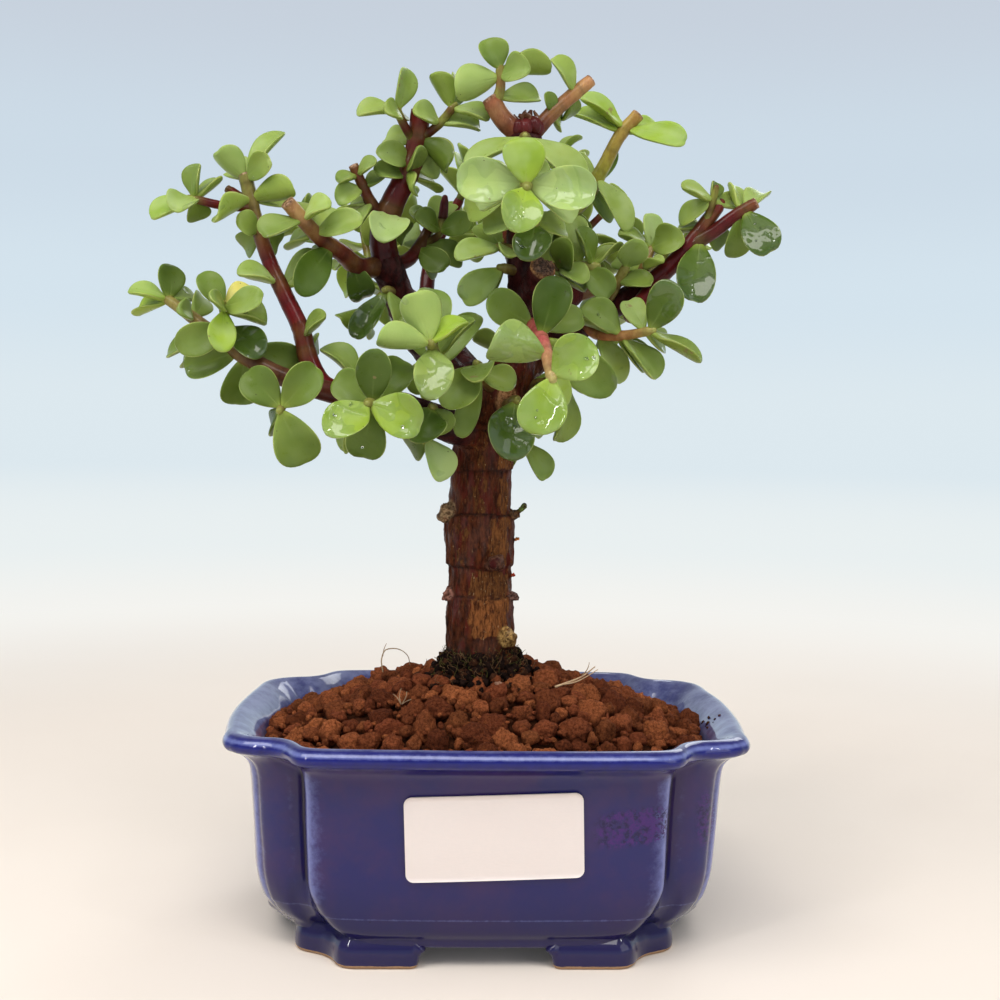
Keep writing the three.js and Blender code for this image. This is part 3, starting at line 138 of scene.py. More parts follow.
# Leafy stems: [name, stems, tufts]. A stem is [radius at root, radius at end, places].
# A tuft is [x, z, y, leaves] at a node of a stem, and a leaf is [x, z, y, turn, width]:
# its tip, how far its face is rolled from the eye up to the sky in degrees, and its width.
SPRAYS = [
  ['far_left', [
    [2.9, 1.4, [[-40, 142.6, -19], [-54, 146.5, -22], [-67, 153, -20], [-78, 161, -13],
      [-87.5, 167.8, -8]]],
    [1.4, 1.2, [[-70, 155, -18], [-71.8, 161, -21], [-72.6, 166, -24]]],
    [1.5, 1.2, [[-54, 146.3, -22], [-55.5, 142, -27], [-57, 139, -31]]],
  ], [
    [-87.5, 167.8, -8, [[-86.5, 177.5, -7, 20, 8.5], [-98.3, 171.5, -10, 62, 7],
      [-80.3, 174.6, -5, 40, 6],
      [-96.6, 164.6, -3, 60, 7], [-79, 168.6, -3, 66, 7]]],
    [-80.5, 163.2, -11, [[-84.5, 165.8, -18, 60, 6], [-78.5, 169, -4, 30, 7]]],
    [-72.6, 166, -24, [[-78.3, 175.5, -26, 15, 7.5], [-64.2, 171.6, -20, 50, 7],
      [-60.3, 167, -29, 25, 8],
      [-74.8, 173.2, -31, 0, 5], [-71.4, 177, -19, 75, 5]]],
    [-72.6, 165.2, -24, [[-73.4, 154.3, -31, 0, 7.4], [-60.4, 164.6, -22, 60, 8],
      [-81.2, 167.2, -31, 30, 6]]],
    [-71.8, 160.6, -21, [[-61.8, 154.2, -29, 0, 10.4], [-84.6, 154.6, -26, 5, 8.8]]],
    [-74, 157.5, -16, [[-89.2, 155, -14, 55, 8], [-86.6, 152.4, -8, 50, 7]]],
    [-68.5, 154, -19, [[-53.2, 151, -25, 5, 10.2], [-83.2, 148.4, -18, 10, 8.5]]],
    [-67, 152.5, -20, [[-69.3, 139.3, -15, 10, 10.6]]],
    [-57, 139, -31, [[-46.6, 149.8, -33, 0, 9.4], [-66.4, 149, -32, 0, 9.6]]],
    [-57, 138.4, -31, [[-50.8, 123.3, -28, 0, 11.8], [-60.2, 133, -22, 60, 6]]],
  ]],
  ['low_left_rise', [
    [2.9, 1.7, [[-40, 142.6, -19], [-46, 146, -18], [-49.5, 152.5, -17], [-51.5, 160, -16],
      [-55.5, 168.5, -14],
      [-60, 178, -12], [-63.5, 188, -11], [-66.6, 200.5, -10]]],
    [1.3, 1.3, [[-65.5, 194, -10], [-70.6, 197.2, -8]]],
    [1.2, 1.1, [[-65.4, 193, -11], [-73, 193.4, -14], [-80.6, 195, -16]]],
  ], [
    [-66.8, 200.5, -10, [[-74.4, 208.6, -13, 150, 8.6], [-58.6, 215, -7, 60, 7],
      [-58.2, 204.6, -15, 50, 7],
      [-71, 207, -3, 10, 8]]],
    [-65.4, 195.2, -10, [[-53.4, 201.2, -13, 150, 7.5], [-54, 196.6, -5, 30, 8],
      [-78.8, 193.6, -21, 130, 8.5]]],
    [-80.6, 195, -16, [[-80.6, 204.6, -17, -50, 6], [-77.4, 204.6, -12, -65, 6],
      [-92.8, 191, -18, 60, 7.5],
      [-85.6, 187.8, -20, 30, 8.4], [-78.6, 188.6, -12, 20, 7]]],
    [-63, 186.8, -11, [[-67.8, 182, -4, 10, 7], [-56.2, 182, -6, 10, 7], [-68.4, 190, -17, 45, 7]]],
    [-57.6, 173, -13, [[-66.4, 175.8, -7, 35, 6], [-69.6, 171.8, -17, 60, 7]]],
    [-56, 171.5, -13, [[-45.6, 182, -6, 20, 9]]],
    [-50.6, 158.8, -16, [[-45.6, 164.4, -22, 60, 7], [-55.6, 162.8, -20, 60, 7]]],
    [-49.5, 154, -17, [[-46.8, 158.2, -9, 60, 6]]],
  ]],
  ['high_left_low', [
    [2.9, 1.6, [[-28.5, 178, 6], [-36, 177.6, 1], [-41, 181.4, -5], [-46, 184.6, -9], [-50, 188.6, -13],
      [-54.6, 193.6, -16]]],
  ], [
    [-51.2, 190.2, -14, [[-50.2, 197.4, -10, 10, 7.4], [-44.8, 195.4, -19, 70, 7],
      [-62.6, 186.8, -21, 60, 8]]],
    [-48, 186.6, -11, [[-57.4, 185.6, -5, 60, 7], [-35.6, 191, -18, 30, 8.2],
      [-42.6, 195.2, -4, 10, 8]]],
    [-43.5, 183, -7, [[-53.8, 170.4, -17, 0, 9.4], [-56, 177.6, -1, 20, 8]]],
    [-38, 179, -2, [[-34, 168, 4, 0, 8]]],
    [-33, 177.6, 3, [[-42.6, 171.8, 9, 35, 8], [-42.4, 160.4, 16, 0, 9.4]]],
  ]],
  ['high_left_rise', [
    [4.0, 2.4, [[-28.5, 178, 6], [-29.6, 187, 5], [-27, 195, 4], [-22.6, 204, 3], [-20.6, 212, 2],
      [-19.8, 218.4, 1]]],
    [2.1, 1.3, [[-30, 190, 5], [-33, 195, 3], [-37.2, 203.6, 0]]],
    [1.3, 1.1, [[-21.2, 211, 2], [-24.8, 217, -2], [-26, 219.6, -3]]],
    [1.3, 1.1, [[-20.2, 212, 2], [-15, 216, -1], [-11.2, 220.6, -3]]],
  ], [
    [-26, 219.6, -3, [[-23, 231, -4, 40, 7.4], [-37, 220.4, -5, 68, 7]]],
    [-25.4, 217.8, -3, [[-32, 217.4, -7, 35, 6.6], [-22.4, 220.6, 4, 30, 6]]],
    [-11.2, 220.6, -3, [[-15.6, 230.4, -5, 150, 7.4], [-1.2, 220.4, -6, 66, 7], [-9, 229.6, 3, 40, 7]]],
    [-14.4, 216.6, -1, [[-21.6, 220.6, -6, 45, 7], [-3.2, 217, 0, 60, 7]]],
    [-20.6, 212, 2, [[-10.4, 205.6, -2, 140, 8.4], [-30.2, 212.4, 7, 25, 7.4]]],
    [-22.2, 206, 3, [[-30.6, 209, -4, 20, 7.4], [-14, 203.4, 6, 30, 7]]],
    [-23.4, 203.4, 2, [[-20.6, 210.2, -6, 45, 6], [-32.4, 201.6, 0, 30, 7.4],
      [-26.4, 199.4, -7, 60, 6]]],
    [-22.4, 202.6, 4, [[-11.4, 203.6, 9, 50, 7], [-17.2, 195.6, 12, 20, 8]]],
    [-37, 202, 0, [[-31.2, 206, -3, 55, 6], [-42.4, 201, -2, 60, 6]]],
    [-35.2, 198.6, 1, [[-42.2, 197, -3, 30, 6.4], [-28.6, 201.4, 6, 40, 6]]],
    [-33.4, 194.4, 3, [[-39.6, 194, 6, 60, 6], [-37.6, 189, -4, 60, 6]]],
    [-29.4, 193, 0, [[-28.8, 185.8, -9, 8, 11]]],
    [-31.6, 178, 2, [[-22.4, 180.6, -4, 45, 7.6]]],
    [-27, 190, 6, [[-21.4, 184.6, 14, 20, 7.4]]],
  ]],
  ['high_left_thin', [
    [2.3, 1.3, [[-28.5, 178, 6], [-22.4, 180, 12], [-19, 184.6, 15], [-17, 189, 16]]],
    [1.2, 1.0, [[-19.4, 184, 15], [-14.6, 186.6, 16], [-13.4, 192, 16]]],
    [1.4, 1.2, [[-13.4, 191, 16], [-13, 195.4, 16]]],
  ], [
    [-17, 188.6, 16, [[-22.8, 193, 13, 45, 7], [-12, 197, 24, 20, 8]]],
    [-14.2, 187.6, 16, [[-20.4, 192.4, 7, 40, 7], [-5.4, 190.4, 12, 20, 8]]],
    [-20.4, 182.6, 14, [[-12.2, 177.6, 9, 0, 7.6], [-25, 190, 22, 10, 8]]],
    [-19.4, 184, 15, [[-7, 180, 19, 30, 8], [-10.6, 174.4, 22, 10, 8]]],
  ]],
  ['high_left_hang', [
    [1.7, 1.3, [[-25.5, 171, 9], [-28.5, 171.4, 2]]],
  ], [
    [-28.5, 171.4, 2, [[-36.4, 157.8, -3, 20, 7.6], [-21.4, 160, 0, 40, 7]]],
  ]],
  ['front_left_up', [
    [2.1, 1.5, [[-12, 147, 7], [-14, 151, -10], [-16.2, 157, -30]]],
  ], [
    [-16.4, 157.6, -31, [[-21, 171.4, -33, 170, 10.6], [-31.4, 159.4, -34, 150, 9],
      [-9.8, 167.6, -33, 50, 8]]],
    [-15.8, 156, -28, [[-15, 143.2, -38, 8, 10.2], [-14.6, 172.8, -22, 0, 9.4]]],
    [-14.8, 153.4, -18, [[-21.6, 144.4, -22, 10, 8], [-5.2, 164.8, -20, 45, 8]]],
    [-13.8, 150.6, -8, [[-4, 166.6, -4, 20, 8], [-24, 165, -6, 20, 8]]],
  ]],
  ['front_left_low', [
    [2.2, 1.5, [[-27, 140.5, -18], [-30, 140.4, -26], [-33, 140.5, -37]]],
    [1.5, 1.2, [[-33.5, 141.8, -19], [-35.2, 146, -16]]],
  ], [
    [-33, 141, -37, [[-43.6, 133, -46, 20, 11], [-18.6, 135.4, -41, 8, 11]]],
    [-32.8, 140.6, -34, [[-31.2, 156.4, -36, 0, 9.2], [-34.8, 124.8, -33, 0, 10.4]]],
    [-32, 140.6, -30, [[-43, 147.2, -30, 10, 9], [-23.4, 153.4, -27, 0, 9.4]]],
    [-29.6, 139.6, -25, [[-26, 131.4, -22, 50, 7]]],
    [-35.4, 146, -16, [[-47.4, 152.4, -13, 60, 8.6]]],
    [-39.8, 141, -19, [[-41.2, 127, -17, 68, 8.6]]],
  ]],
  ['under_left', [
    [1.8, 1.4, [[-14, 136, -12], [-15.6, 139.6, -20]]],
    [1.6, 1.3, [[-14, 136, -12], [-17, 131.6, -14]]],
  ], [
    [-15.6, 139.6, -20, [[-20, 129.4, -25, 0, 11], [-11.8, 134, -24, 20, 8]]],
    [-17, 131.4, -14, [[-11.4, 120.2, -16, 30, 8.6], [-24.6, 128, -8, 20, 9]]],
  ]],
  ['front_mid', [
    [1.9, 1.4, [[1.5, 144, -3], [-2, 149, -12], [-3.5, 151.5, -18]]],
  ], [
    [-3.4, 151.5, -18, [[-12.4, 138.8, -21, 0, 10], [-1.8, 141.8, -24, 0, 9.2]]],
    [-2.4, 149.8, -14, [[-8.4, 131.6, -11, 0, 6.4], [6.6, 146, -17, 20, 8]]],
  ]],
  ['front_trunk', [
    [1.9, 1.5, [[4, 140, -5], [7, 142, -13]]],
  ], [
    [7, 142, -13, [[4.4, 126.6, -21, 5, 13.2], [17, 133, -10, 30, 8]]],
  ]],
  ['under_right', [
    [1.8, 1.3, [[5, 146, 1], [13, 146.6, 2], [21, 148.6, 0]]],
    [1.6, 1.3, [[4, 138, 3], [9.4, 131, 8]]],
  ], [
    [21, 148.6, 0, [[20.4, 130.4, -3, 68, 9], [25.6, 142.4, -6, 40, 7.4]]],
    [13, 146.6, 2, [[9.6, 150, -8, 0, 7], [19, 138, 10, 20, 8]]],
    [9.4, 131, 8, [[16.4, 120.6, 6, 40, 7.6], [3, 122.6, 16, 30, 8]]],
  ]],
  ['pink_shoot', [
    [2.2, 1.5, [[9, 163, -3], [11.6, 162.4, -12], [13.8, 159.4, -23], [15.4, 155, -33],
      [17, 148.8, -39]]],
  ], [
    [17, 148.8, -39, [[13.4, 132.8, -43, 0, 12.4], [28.2, 157.6, -43, 0, 12.2]]],
    [15.4, 154.4, -33.5, [[-0.6, 158.4, -39, 160, 12.4], [20.8, 139.2, -26, 30, 7.4]]],
    [13.9, 159.2, -23, [[18.4, 176, -25, 0, 10.2], [33.4, 145.4, -31, 0, 10.6]]],
    [11.4, 162.2, -12, [[-0.8, 170, -15, 0, 9.8], [25.6, 165.8, -14, 10, 8]]],
  ]],
  ['top_left', [
    [2.9, 2.5, [[6.4, 214.6, -6], [2.6, 218, -7], [-0.4, 222.4, -8]]],
    [1.5, 1.2, [[0.2, 221.6, -8], [1.7, 226, -9], [1.6, 231, -10]]],
  ], [
    [1.6, 231, -10, [[-1.6, 240, -12, 20, 8], [14.8, 233.2, -6, 140, 8.6]]],
    [1.5, 229.2, -10, [[-10, 226, -14, 165, 9.6], [10.4, 230, -15, 55, 8]]],
    [0.8, 223.8, -8, [[12.6, 221.6, 1, 50, 7.6], [-6, 219, 0, 40, 7]]],
  ]],
  ['top_right', [
    [2.2, 1.8, [[11, 214.4, -5], [15.6, 219.6, -4], [20.4, 224, -3], [25.2, 228, -2]]],
  ], [
    [21.6, 225.4, -3, [[15, 234.4, -5, 60, 7], [21, 218, 4, 60, 6]]],
    [16, 220, -4, [[14.6, 225.4, -7, 30, 4.6], [19.4, 216.8, 4, 50, 6]]],
  ]],
  ['top_pair', [
    [2.0, 1.4, [[8.6, 212.4, -7], [8.6, 213.4, -11.6]]],
  ], [
    [8.4, 213.2, -10.4, [[-8.2, 206.6, -14, 50, 8], [26.6, 203.6, -15, 50, 8.6]]],
  ]],
  ['front_high', [
    [2.1, 1.5, [[8.2, 204, -5], [8.6, 203.4, -18], [9.2, 200.2, -34]]],
  ], [
    [9.2, 200, -34, [[8.4, 213.4, -36, 0, 10.6], [7, 188.6, -41, 12, 11]]],
    [9.2, 200.4, -31, [[-9.8, 201, -34, 10, 11.6], [28.2, 198, -35, 10, 11.6]]],
    [8.9, 201.6, -26, [[-4, 194, -26, 40, 8], [23, 192, -26, 40, 8.6]]],
    [8.7, 202.6, -21, [[15, 205.8, -25, 10, 6.4], [-8.8, 193.4, -12, 10, 9]]],
  ]],
  ['front_high_low', [
    [1.9, 1.4, [[7.8, 193, -5], [9.6, 192, -16], [11.6, 190.4, -24]]],
  ], [
    [11.6, 190.2, -24, [[10.4, 180.4, -30, 0, 10.2], [20.6, 189.6, -19, 30, 8]]],
    [9.4, 192, -15, [[-3.4, 191, -15, 20, 8], [17, 188, -8, 40, 7]]],
  ]],
  ['olive_shoot', [
    [2.5, 1.6, [[8, 186, -3], [17, 190, 8], [25, 197, 13], [30, 205.6, 13], [35.2, 215.4, 13],
      [38.4, 219, 13]]],
  ], [
    [35.6, 216.4, 13, [[24, 225, 9, 60, 8], [52.6, 213, 8, 50, 8]]],
    [35, 215.2, 13, [[21.8, 221.4, 15, 50, 8], [46.4, 217.2, 21, 50, 8]]],
    [28.4, 202.6, 13, [[38, 190.6, 3, 40, 7.6], [19.4, 208.6, 20, 10, 8]]],
    [26.6, 199.6, 13, [[33, 191.4, 18, 30, 8], [30.6, 212, 22, 40, 6]]],
    [22, 194.4, 11, [[24, 186, 16, 10, 8]]],
  ]],
  ['left_of_leader', [
    [1.9, 1.3, [[7.6, 182, -4], [2.6, 183.6, -10]]],
    [1.7, 1.3, [[8, 177, -4], [3.2, 178, -8]]],
  ], [
    [2.6, 183.6, -10, [[-9.6, 181.6, -17, 45, 8], [-3.4, 190.4, -4, 10, 8]]],
    [3.2, 178, -8, [[-8.4, 170.2, -12, 15, 8.6], [-2, 172.4, -1, 20, 7]]],
    [4.4, 183, -8, [[1, 175.6, -16, 0, 6.4]]],
  ]],
  ['right_of_stub', [
    [1.9, 1.4, [[8, 176, -2], [16, 178, 2], [27.6, 179, 0]]],
  ], [
    [27.6, 179, 0, [[24, 189.8, -4, 50, 8], [34.6, 186, 3, 60, 8]]],
    [18.6, 178.6, 2, [[24.4, 187.6, -3, 10, 9], [26, 176, -6, 20, 7.6]]],
    [16.4, 178, 2, [[26.6, 173.6, 0, 55, 8], [14, 189, 10, 10, 9]]],
    [24, 179, 1, [[21.4, 191, 9, 10, 8], [31, 170.4, 6, 20, 8]]],
  ]],
  ['right_inner', [
    [2.0, 1.3, [[28, 165, 8], [33, 172, 4], [36.6, 178.6, 1]]],
  ], [
    [36.6, 178.6, 1, [[39.6, 187, -4, 10, 8.6], [33, 184.6, -5, 40, 6]]],
    [34.8, 175, 3, [[26.6, 175.8, -6, 35, 8.4], [43.4, 176.2, -3, 40, 7]]],
    [33, 172, 4, [[24, 180.6, 13, 10, 8], [42, 166, -2, 20, 7]]],
  ]],
  ['right_mid', [
    [1.8, 1.3, [[40, 172, 6], [41.4, 177.6, 4], [43.6, 184, 6]]],
  ], [
    [43.6, 184, 6, [[53.2, 186.6, 1, 20, 8.6], [34.6, 189, 5, 55, 7]]],
    [43.4, 183.6, 6, [[40.6, 192, 10, 40, 6], [48.4, 190.6, 12, 20, 7]]],
    [41.6, 178.2, 4, [[48.2, 180.8, -2, 60, 6], [33.4, 181.4, 12, 20, 7]]],
  ]],
  ['right_tip', [
    [2.9, 1.9, [[40, 172, 6], [46, 176.6, 4], [50.6, 181, 3], [55.4, 187, 3], [61.6, 195.6, 2]]],
    [2.0, 1.7, [[54.4, 185, 3], [60.6, 188.8, 1], [66, 193, 0], [71, 196.2, -1]]],
    [1.2, 1.0, [[58.6, 191.4, 2], [60.8, 199.6, -1]]],
    [2.4, 2.3, [[44.6, 174, 4], [38.6, 166, -4]]],
  ], [
    [60.2, 197.4, 0, [[51.6, 201.4, -3, 60, 7], [60.6, 202.2, 2, 40, 4.4]]],
    [60.2, 197, 0, [[68.2, 196.8, 7, 50, 6], [54.6, 191, 9, 40, 7]]],
    [58.6, 190.4, 1, [[50.4, 195.2, -6, 45, 7.4], [63.6, 184.6, 7, 20, 7]]],
    [57.6, 190, 3, [[47, 196.4, 6, 50, 7.6]]],
    [69, 195, -1, [[76.4, 183.4, -9, 15, 10], [74.8, 200.6, 4, 40, 7.6]]],
    [68, 194.4, 0, [[65.6, 201.8, 6, 50, 6.4], [67.6, 181.6, 2, 20, 7.4]]],
    [57, 186.4, 2, [[55.6, 169.8, -8, 0, 11]]],
  ]],
  ['right_low', [
    [1.7, 1.2, [[26, 163.6, 5], [29, 160.6, -3], [36, 160.2, -9], [43.6, 161.6, -14]]],
  ], [
    [43.6, 161.6, -14, [[50.8, 174.6, -20, 0, 9.8], [58.4, 153.6, -17, 66, 8]]],
    [42.6, 161.4, -13, [[48.8, 157.4, -4, 40, 7], [37, 168, -5, 20, 7]]],
    [36, 160.2, -9, [[29.6, 171.2, -14, 40, 8.4], [47.4, 150.2, -13, 60, 8.4]]],
    [34.6, 160.2, -8, [[25.6, 171.6, -5, 62, 7.6], [43.6, 151.6, -3, 40, 8]]],
    [29.6, 160.4, -3, [[37.4, 148, -5, 30, 8.4]]],
  ]],
]

# Leafy stems of the back of the crown, whose leaves follow from a rule:
# [name, [radius at root, radius at end, places], shoots]. A shoot is
# [root, tip, pairs of leaves, leaf length, turn of the first pair].
BACK_SPRAYS = [
  ['back_left_low', [2.6, 1.4, [[-18, 167, 38], [-31, 176, 46], [-43, 184, 45]]], [
    [[-43, 184, 45], [-49, 188, 43], 2, 13, 10],
    [[-33, 177, 46], [-35, 187, 50], 3, 12.5, 30],
    [[-27, 173, 44], [-34, 166, 46], 2, 12.5, 45]]],
  ['back_left_high', [2.5, 1.4, [[-18, 167, 38], [-16, 182, 46], [-9, 196, 45]]], [
    [[-9, 196, 45], [-6, 203, 43], 3, 12.5, 20],
    [[-16, 183, 46], [-24, 191, 49], 3, 12.5, 0],
    [[-13, 188, 46], [-6, 188, 56], 2, 12.5, 40]]],
  ['back_right_high', [2.4, 1.4, [[23, 171, 38], [23, 186, 46], [19, 200, 45]]], [
    [[19, 200, 45], [17, 208, 42], 3, 12.5, 20],
    [[23, 186, 46], [30, 193, 46], 2, 12.5, 0],
    [[23, 180, 44], [14, 182, 54], 2, 12.5, 40]]],
  ['back_right_low', [2.3, 1.3, [[23, 171, 38], [35, 175, 42], [47, 181, 36]]], [
    [[47, 181, 36], [53, 185, 32], 2, 12.5, 10],
    [[36, 175, 42], [39, 183, 46], 3, 12.5, 30],
    [[30, 173, 41], [33, 166, 45], 2, 13, 45]]],
  ['back_low', [2.4, 1.4, [[1, 142, 4], [-3, 147, 22], [4, 153, 36]]], [
    [[4, 153, 36], [6, 159, 41], 3, 13, 20],
    [[-2, 148, 25], [-10, 148, 34], 2, 13, 40],
    [[0, 150, 30], [11, 147, 38], 2, 13, 60]]],
  ['back_mid', [2.4, 1.4, [[7.5, 176, -1], [5, 183, 18], [3, 190, 32]]], [
    [[3, 190, 32], [4, 197, 33], 3, 12.5, 10],
    [[5, 184, 20], [-4, 187, 27], 2, 12, 40],
    [[4, 187, 26], [13, 188, 36], 2, 12, 70]]],
]

# Leaves whose look stands out, by the x and z of their tip in SPRAYS.
LOOKS = {
    "bright": [(13.4, 132.8), (28.2, 157.6), (7, 188.6), (-43.6, 133), (-18.6, 135.4), (24, 225),
               (52.6, 213), (21.8, 221.4), (-92.8, 191), (-73.4, 154.3), (-42.6, 171.8), (-9.8, 167.6),
               (8.4, 213.4), (20.8, 139.2), (46.4, 217.2), (-98.3, 171.5), (-96.6, 164.6)],
    "dark": [(-61.8, 154.2), (10.4, 180.4), (55.6, 169.8), (76.4, 183.4), (-34, 168), (-53.8, 170.4),
             (-20, 129.4), (-36.4, 157.8), (4.4, 126.6), (18.4, 176), (-10.4, 205.6)],
    "pale": [(-74.4, 208.6), (-10, 226), (-21, 171.4), (-31.4, 159.4), (-0.6, 158.4), (-11.4, 120.2),
             (28.2, 198), (-9.8, 201), (-28.8, 185.8), (40.6, 192), (23, 192), (-4, 194)],
    "yellow": [(-64.2, 171.6)],
}
WET = [(10.4, 180.4), (7, 188.6), (28.2, 198), (-9.8, 201), (55.6, 169.8), (76.4, 183.4), (13.4, 132.8),
       (-43.6, 133), (-18.6, 135.4), (-0.6, 158.4), (28.2, 157.6), (-61.8, 154.2), (-15, 143.2),
       (-34, 168), (4.4, 126.6), (50.8, 174.6), (-36.4, 157.8)]

# Colours of a stem at its root, its middle and its tip, linear.
RED_STEM = ((0.055, 0.005, 0.006), (0.100, 0.009, 0.010), (0.14, 0.018, 0.015))
YOUNG_STEM = ((0.12, 0.05, 0.02), (0.22, 0.17, 0.045), (0.26, 0.27, 0.065))
STEM_COLOURS = {
    "pink_shoot": ((0.34, 0.045, 0.05), (0.50, 0.11, 0.11), (0.40, 0.33, 0.12)),
    "olive_shoot": ((0.10, 0.085, 0.012), (0.23, 0.225, 0.022), (0.40, 0.24, 0.06)),
    "right_low": ((0.28, 0.08, 0.03), (0.44, 0.19, 0.075), (0.34, 0.34, 0.09)),
    "right_mid": ((0.10, 0.02, 0.015), (0.24, 0.14, 0.04), (0.28, 0.27, 0.07)),
    "top_right": ((0.12, 0.022, 0.015), (0.34, 0.16, 0.06), (0.48, 0.24, 0.10)),
    "top_left": ((0.20, 0.055, 0.03), (0.30, 0.14, 0.06), (0.34, 0.08, 0.05)),
    "far_left": ((0.07, 0.012, 0.010), (0.15, 0.08, 0.03), (0.27, 0.24, 0.06)),
    "low_left_rise": ((0.100, 0.006, 0.009), (0.120, 0.009, 0.010), (0.20, 0.19, 0.05)),
    "high_left_low": ((0.07, 0.006, 0.007), (0.13, 0.028, 0.015), (0.48, 0.27, 0.11)),
    "high_left_thin": ((0.05, 0.007, 0.007), (0.09, 0.012, 0.012), (0.10, 0.02, 0.018)),
}
# Stems that were cut and end in a flat, dry face: (spray, number of the stem).
CUT_STEMS = {("low_left_rise", 0), ("low_left_rise", 1), ("high_left_rise", 0), ("high_left_rise", 1),
             ("right_tip", 1), ("right_tip", 3), ("top_right", 0), ("olive_shoot", 0), ("top_left", 0),
             ("high_left_low", 0)}

# ---- Noise and paths ------------------------------------------------------------------------

_shuffle = np.random.RandomState(7)
_PLACES = np.tile(_shuffle.permutation(256), 3)
_SLOPES = _shuffle.normal(size=(256, 3))
_SLOPES /= np.linalg.norm(_SLOPES, axis=1)[:, None]


def noise(points):
    """Smooth noise, from about -1 to 1, at each point."""
    cell = np.floor(points).astype(int)
    part = points - cell
    fade = part**3 * (part * (part * 6 - 15) + 10)
    total = np.zeros(len(points))
    for corner in np.ndindex(2, 2, 2):
        x, y, z = ((cell + corner) & 255).T
        slope = _SLOPES[_PLACES[_PLACES[_PLACES[x] + y] + z]]
        weight = np.where(np.array(corner) == 1, fade, 1 - fade).prod(axis=1)
        total += weight * ((part - corner) * slope).sum(axis=1)
    return 1.8 * total


def layered_noise(points, octaves):
    return sum(noise(points * 2**k + 17 * k) / 2**k for k in range(octaves))


def ease(low, high, values):
    """0 below low, 1 above high, and smooth between."""
    t = np.clip((np.asarray(values, float) - low) / (high - low), 0, 1)
    return t * t * (3 - 2 * t)


def unit(vectors):
    return vectors / np.linalg.norm(vectors, axis=-1, keepdims=True)


def place(spot):
    """A place of the tree, [x, z, y] as the eye lines it up, as a real point."""
    x, z, y = spot
    return EYE + (np.array([x, 0.0, z]) - EYE) * (1 - y / EYE[1])


def smooth_path(points, radii, step):
    """Points about `step` apart on a smooth curve through `points`, and their radii."""
    points = np.asarray(points, float)
    spans = np.linalg.norm(np.diff(points, axis=0), axis=1)
    ways = np.diff(points, axis=0) / spans[:, None]
    before, after = spans[:-1, None], spans[1:, None]
    inner = (before * ways[1:] + after * ways[:-1]) / (before + after)
    slopes = np.vstack([ways[:1], inner, ways[-1:]])
    curve, widths = [], []
    for i, span in enumerate(spans):
        count = max(2, round(span / step))
        for t in np.arange(count) / count:
            curve.append((1 + 2 * t) * (1 - t) ** 2 * points[i] + t * (1 - t) ** 2 * span * slopes[i]
                         + t * t * (3 - 2 * t) * points[i + 1] - t * t * (1 - t) * span * slopes[i + 1])
            widths.append(radii[i] + (radii[i + 1] - radii[i]) * t)
    return np.array(curve + [points[-1]]), np.array(widths + [radii[-1]])


# ---- Meshes ---------------------------------------------------------------------------------

class Heap:
    """Points, faces and per-point values of several closed lumps that make one mesh."""

    def __init__(self):
        self.points, self.faces, self.values, self.count = [], [], {}, 0

    def add(self, points, faces, **values):
        """Each of `faces` is an array of faces with one number of corners."""
        for group in faces:
            self.faces += (np.asarray(group) + self.count).tolist()
        self.points.append(points)
        self.count += len(points)
        for key, value in values.items():
            value = np.asarray(value, float)
            self.values.setdefault(key, []).append(np.broadcast_to(
                value, (len(points), *value.shape[-1:])) if value.ndim != 1 or len(value) == 3
                else value)

    def build(self, name, material, **settings):
        values = {key: np.concatenate(parts) for key, parts in self.values.items()}
        return mesh_object(name, np.concatenate(self.points), self.faces, material, values, **settings)


def mesh_object(name, points, faces, material, values=None, slot=None, stands_for=(), smooth=True):
    """A piece of the plant or pot, riding on the part's only body."""
    mesh = bpy.data.meshes.new(name)
    mesh.from_pydata((np.asarray(points) * MM + POT_CENTRE).tolist(), [], faces)
    mesh.update()
    mesh.polygons.foreach_set("use_smooth", [smooth] * len(mesh.polygons))
    for key, value in (values or {}).items():
        if value.ndim == 1:
            layer = mesh.attributes.new(key, "FLOAT", "POINT")
            layer.data.foreach_set("value", value.astype(np.float32))
        else:
            layer = mesh.attributes.new(key, "FLOAT_COLOR", "POINT")
            rgba = np.column_stack([value, np.ones(len(value))]).astype(np.float32)
            layer.data.foreach_set("color", rgba.ravel())
    mesh.materials.append(material)
    piece = bpy.data.objects.new(name, mesh)
    bpy.context.scene.collection.objects.link(piece)
    if slot:
        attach(piece, "root")
        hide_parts(*stands_for)
    return piece


def ring_faces(rings, sides, closed=True):
    """Quads between rings of points, which turn counter-clockwise about the way they run."""
    start = np.arange(rings - 1)[:, None] * sides
    i = np.arange(sides if closed else sides - 1)[None, :]
    k = (i + 1) % sides
    return np.stack([start + i, start + k, start + k + sides, start + i + sides], -1).reshape(-1, 4)


def capped(rings, sides):
    """Faces of rings of points with one more point before the first ring and after the last."""
    i = np.arange(sides)
    k = (i + 1) % sides
    last = 1 + (rings - 1) * sides
    end = last + sides
    first_fan = np.stack([0 * i, 1 + k, 1 + i], -1)
    last_fan = np.stack([last + i, last + k, 0 * i + end], -1)
    return [ring_faces(rings, sides) + 1, first_fan, last_fan]


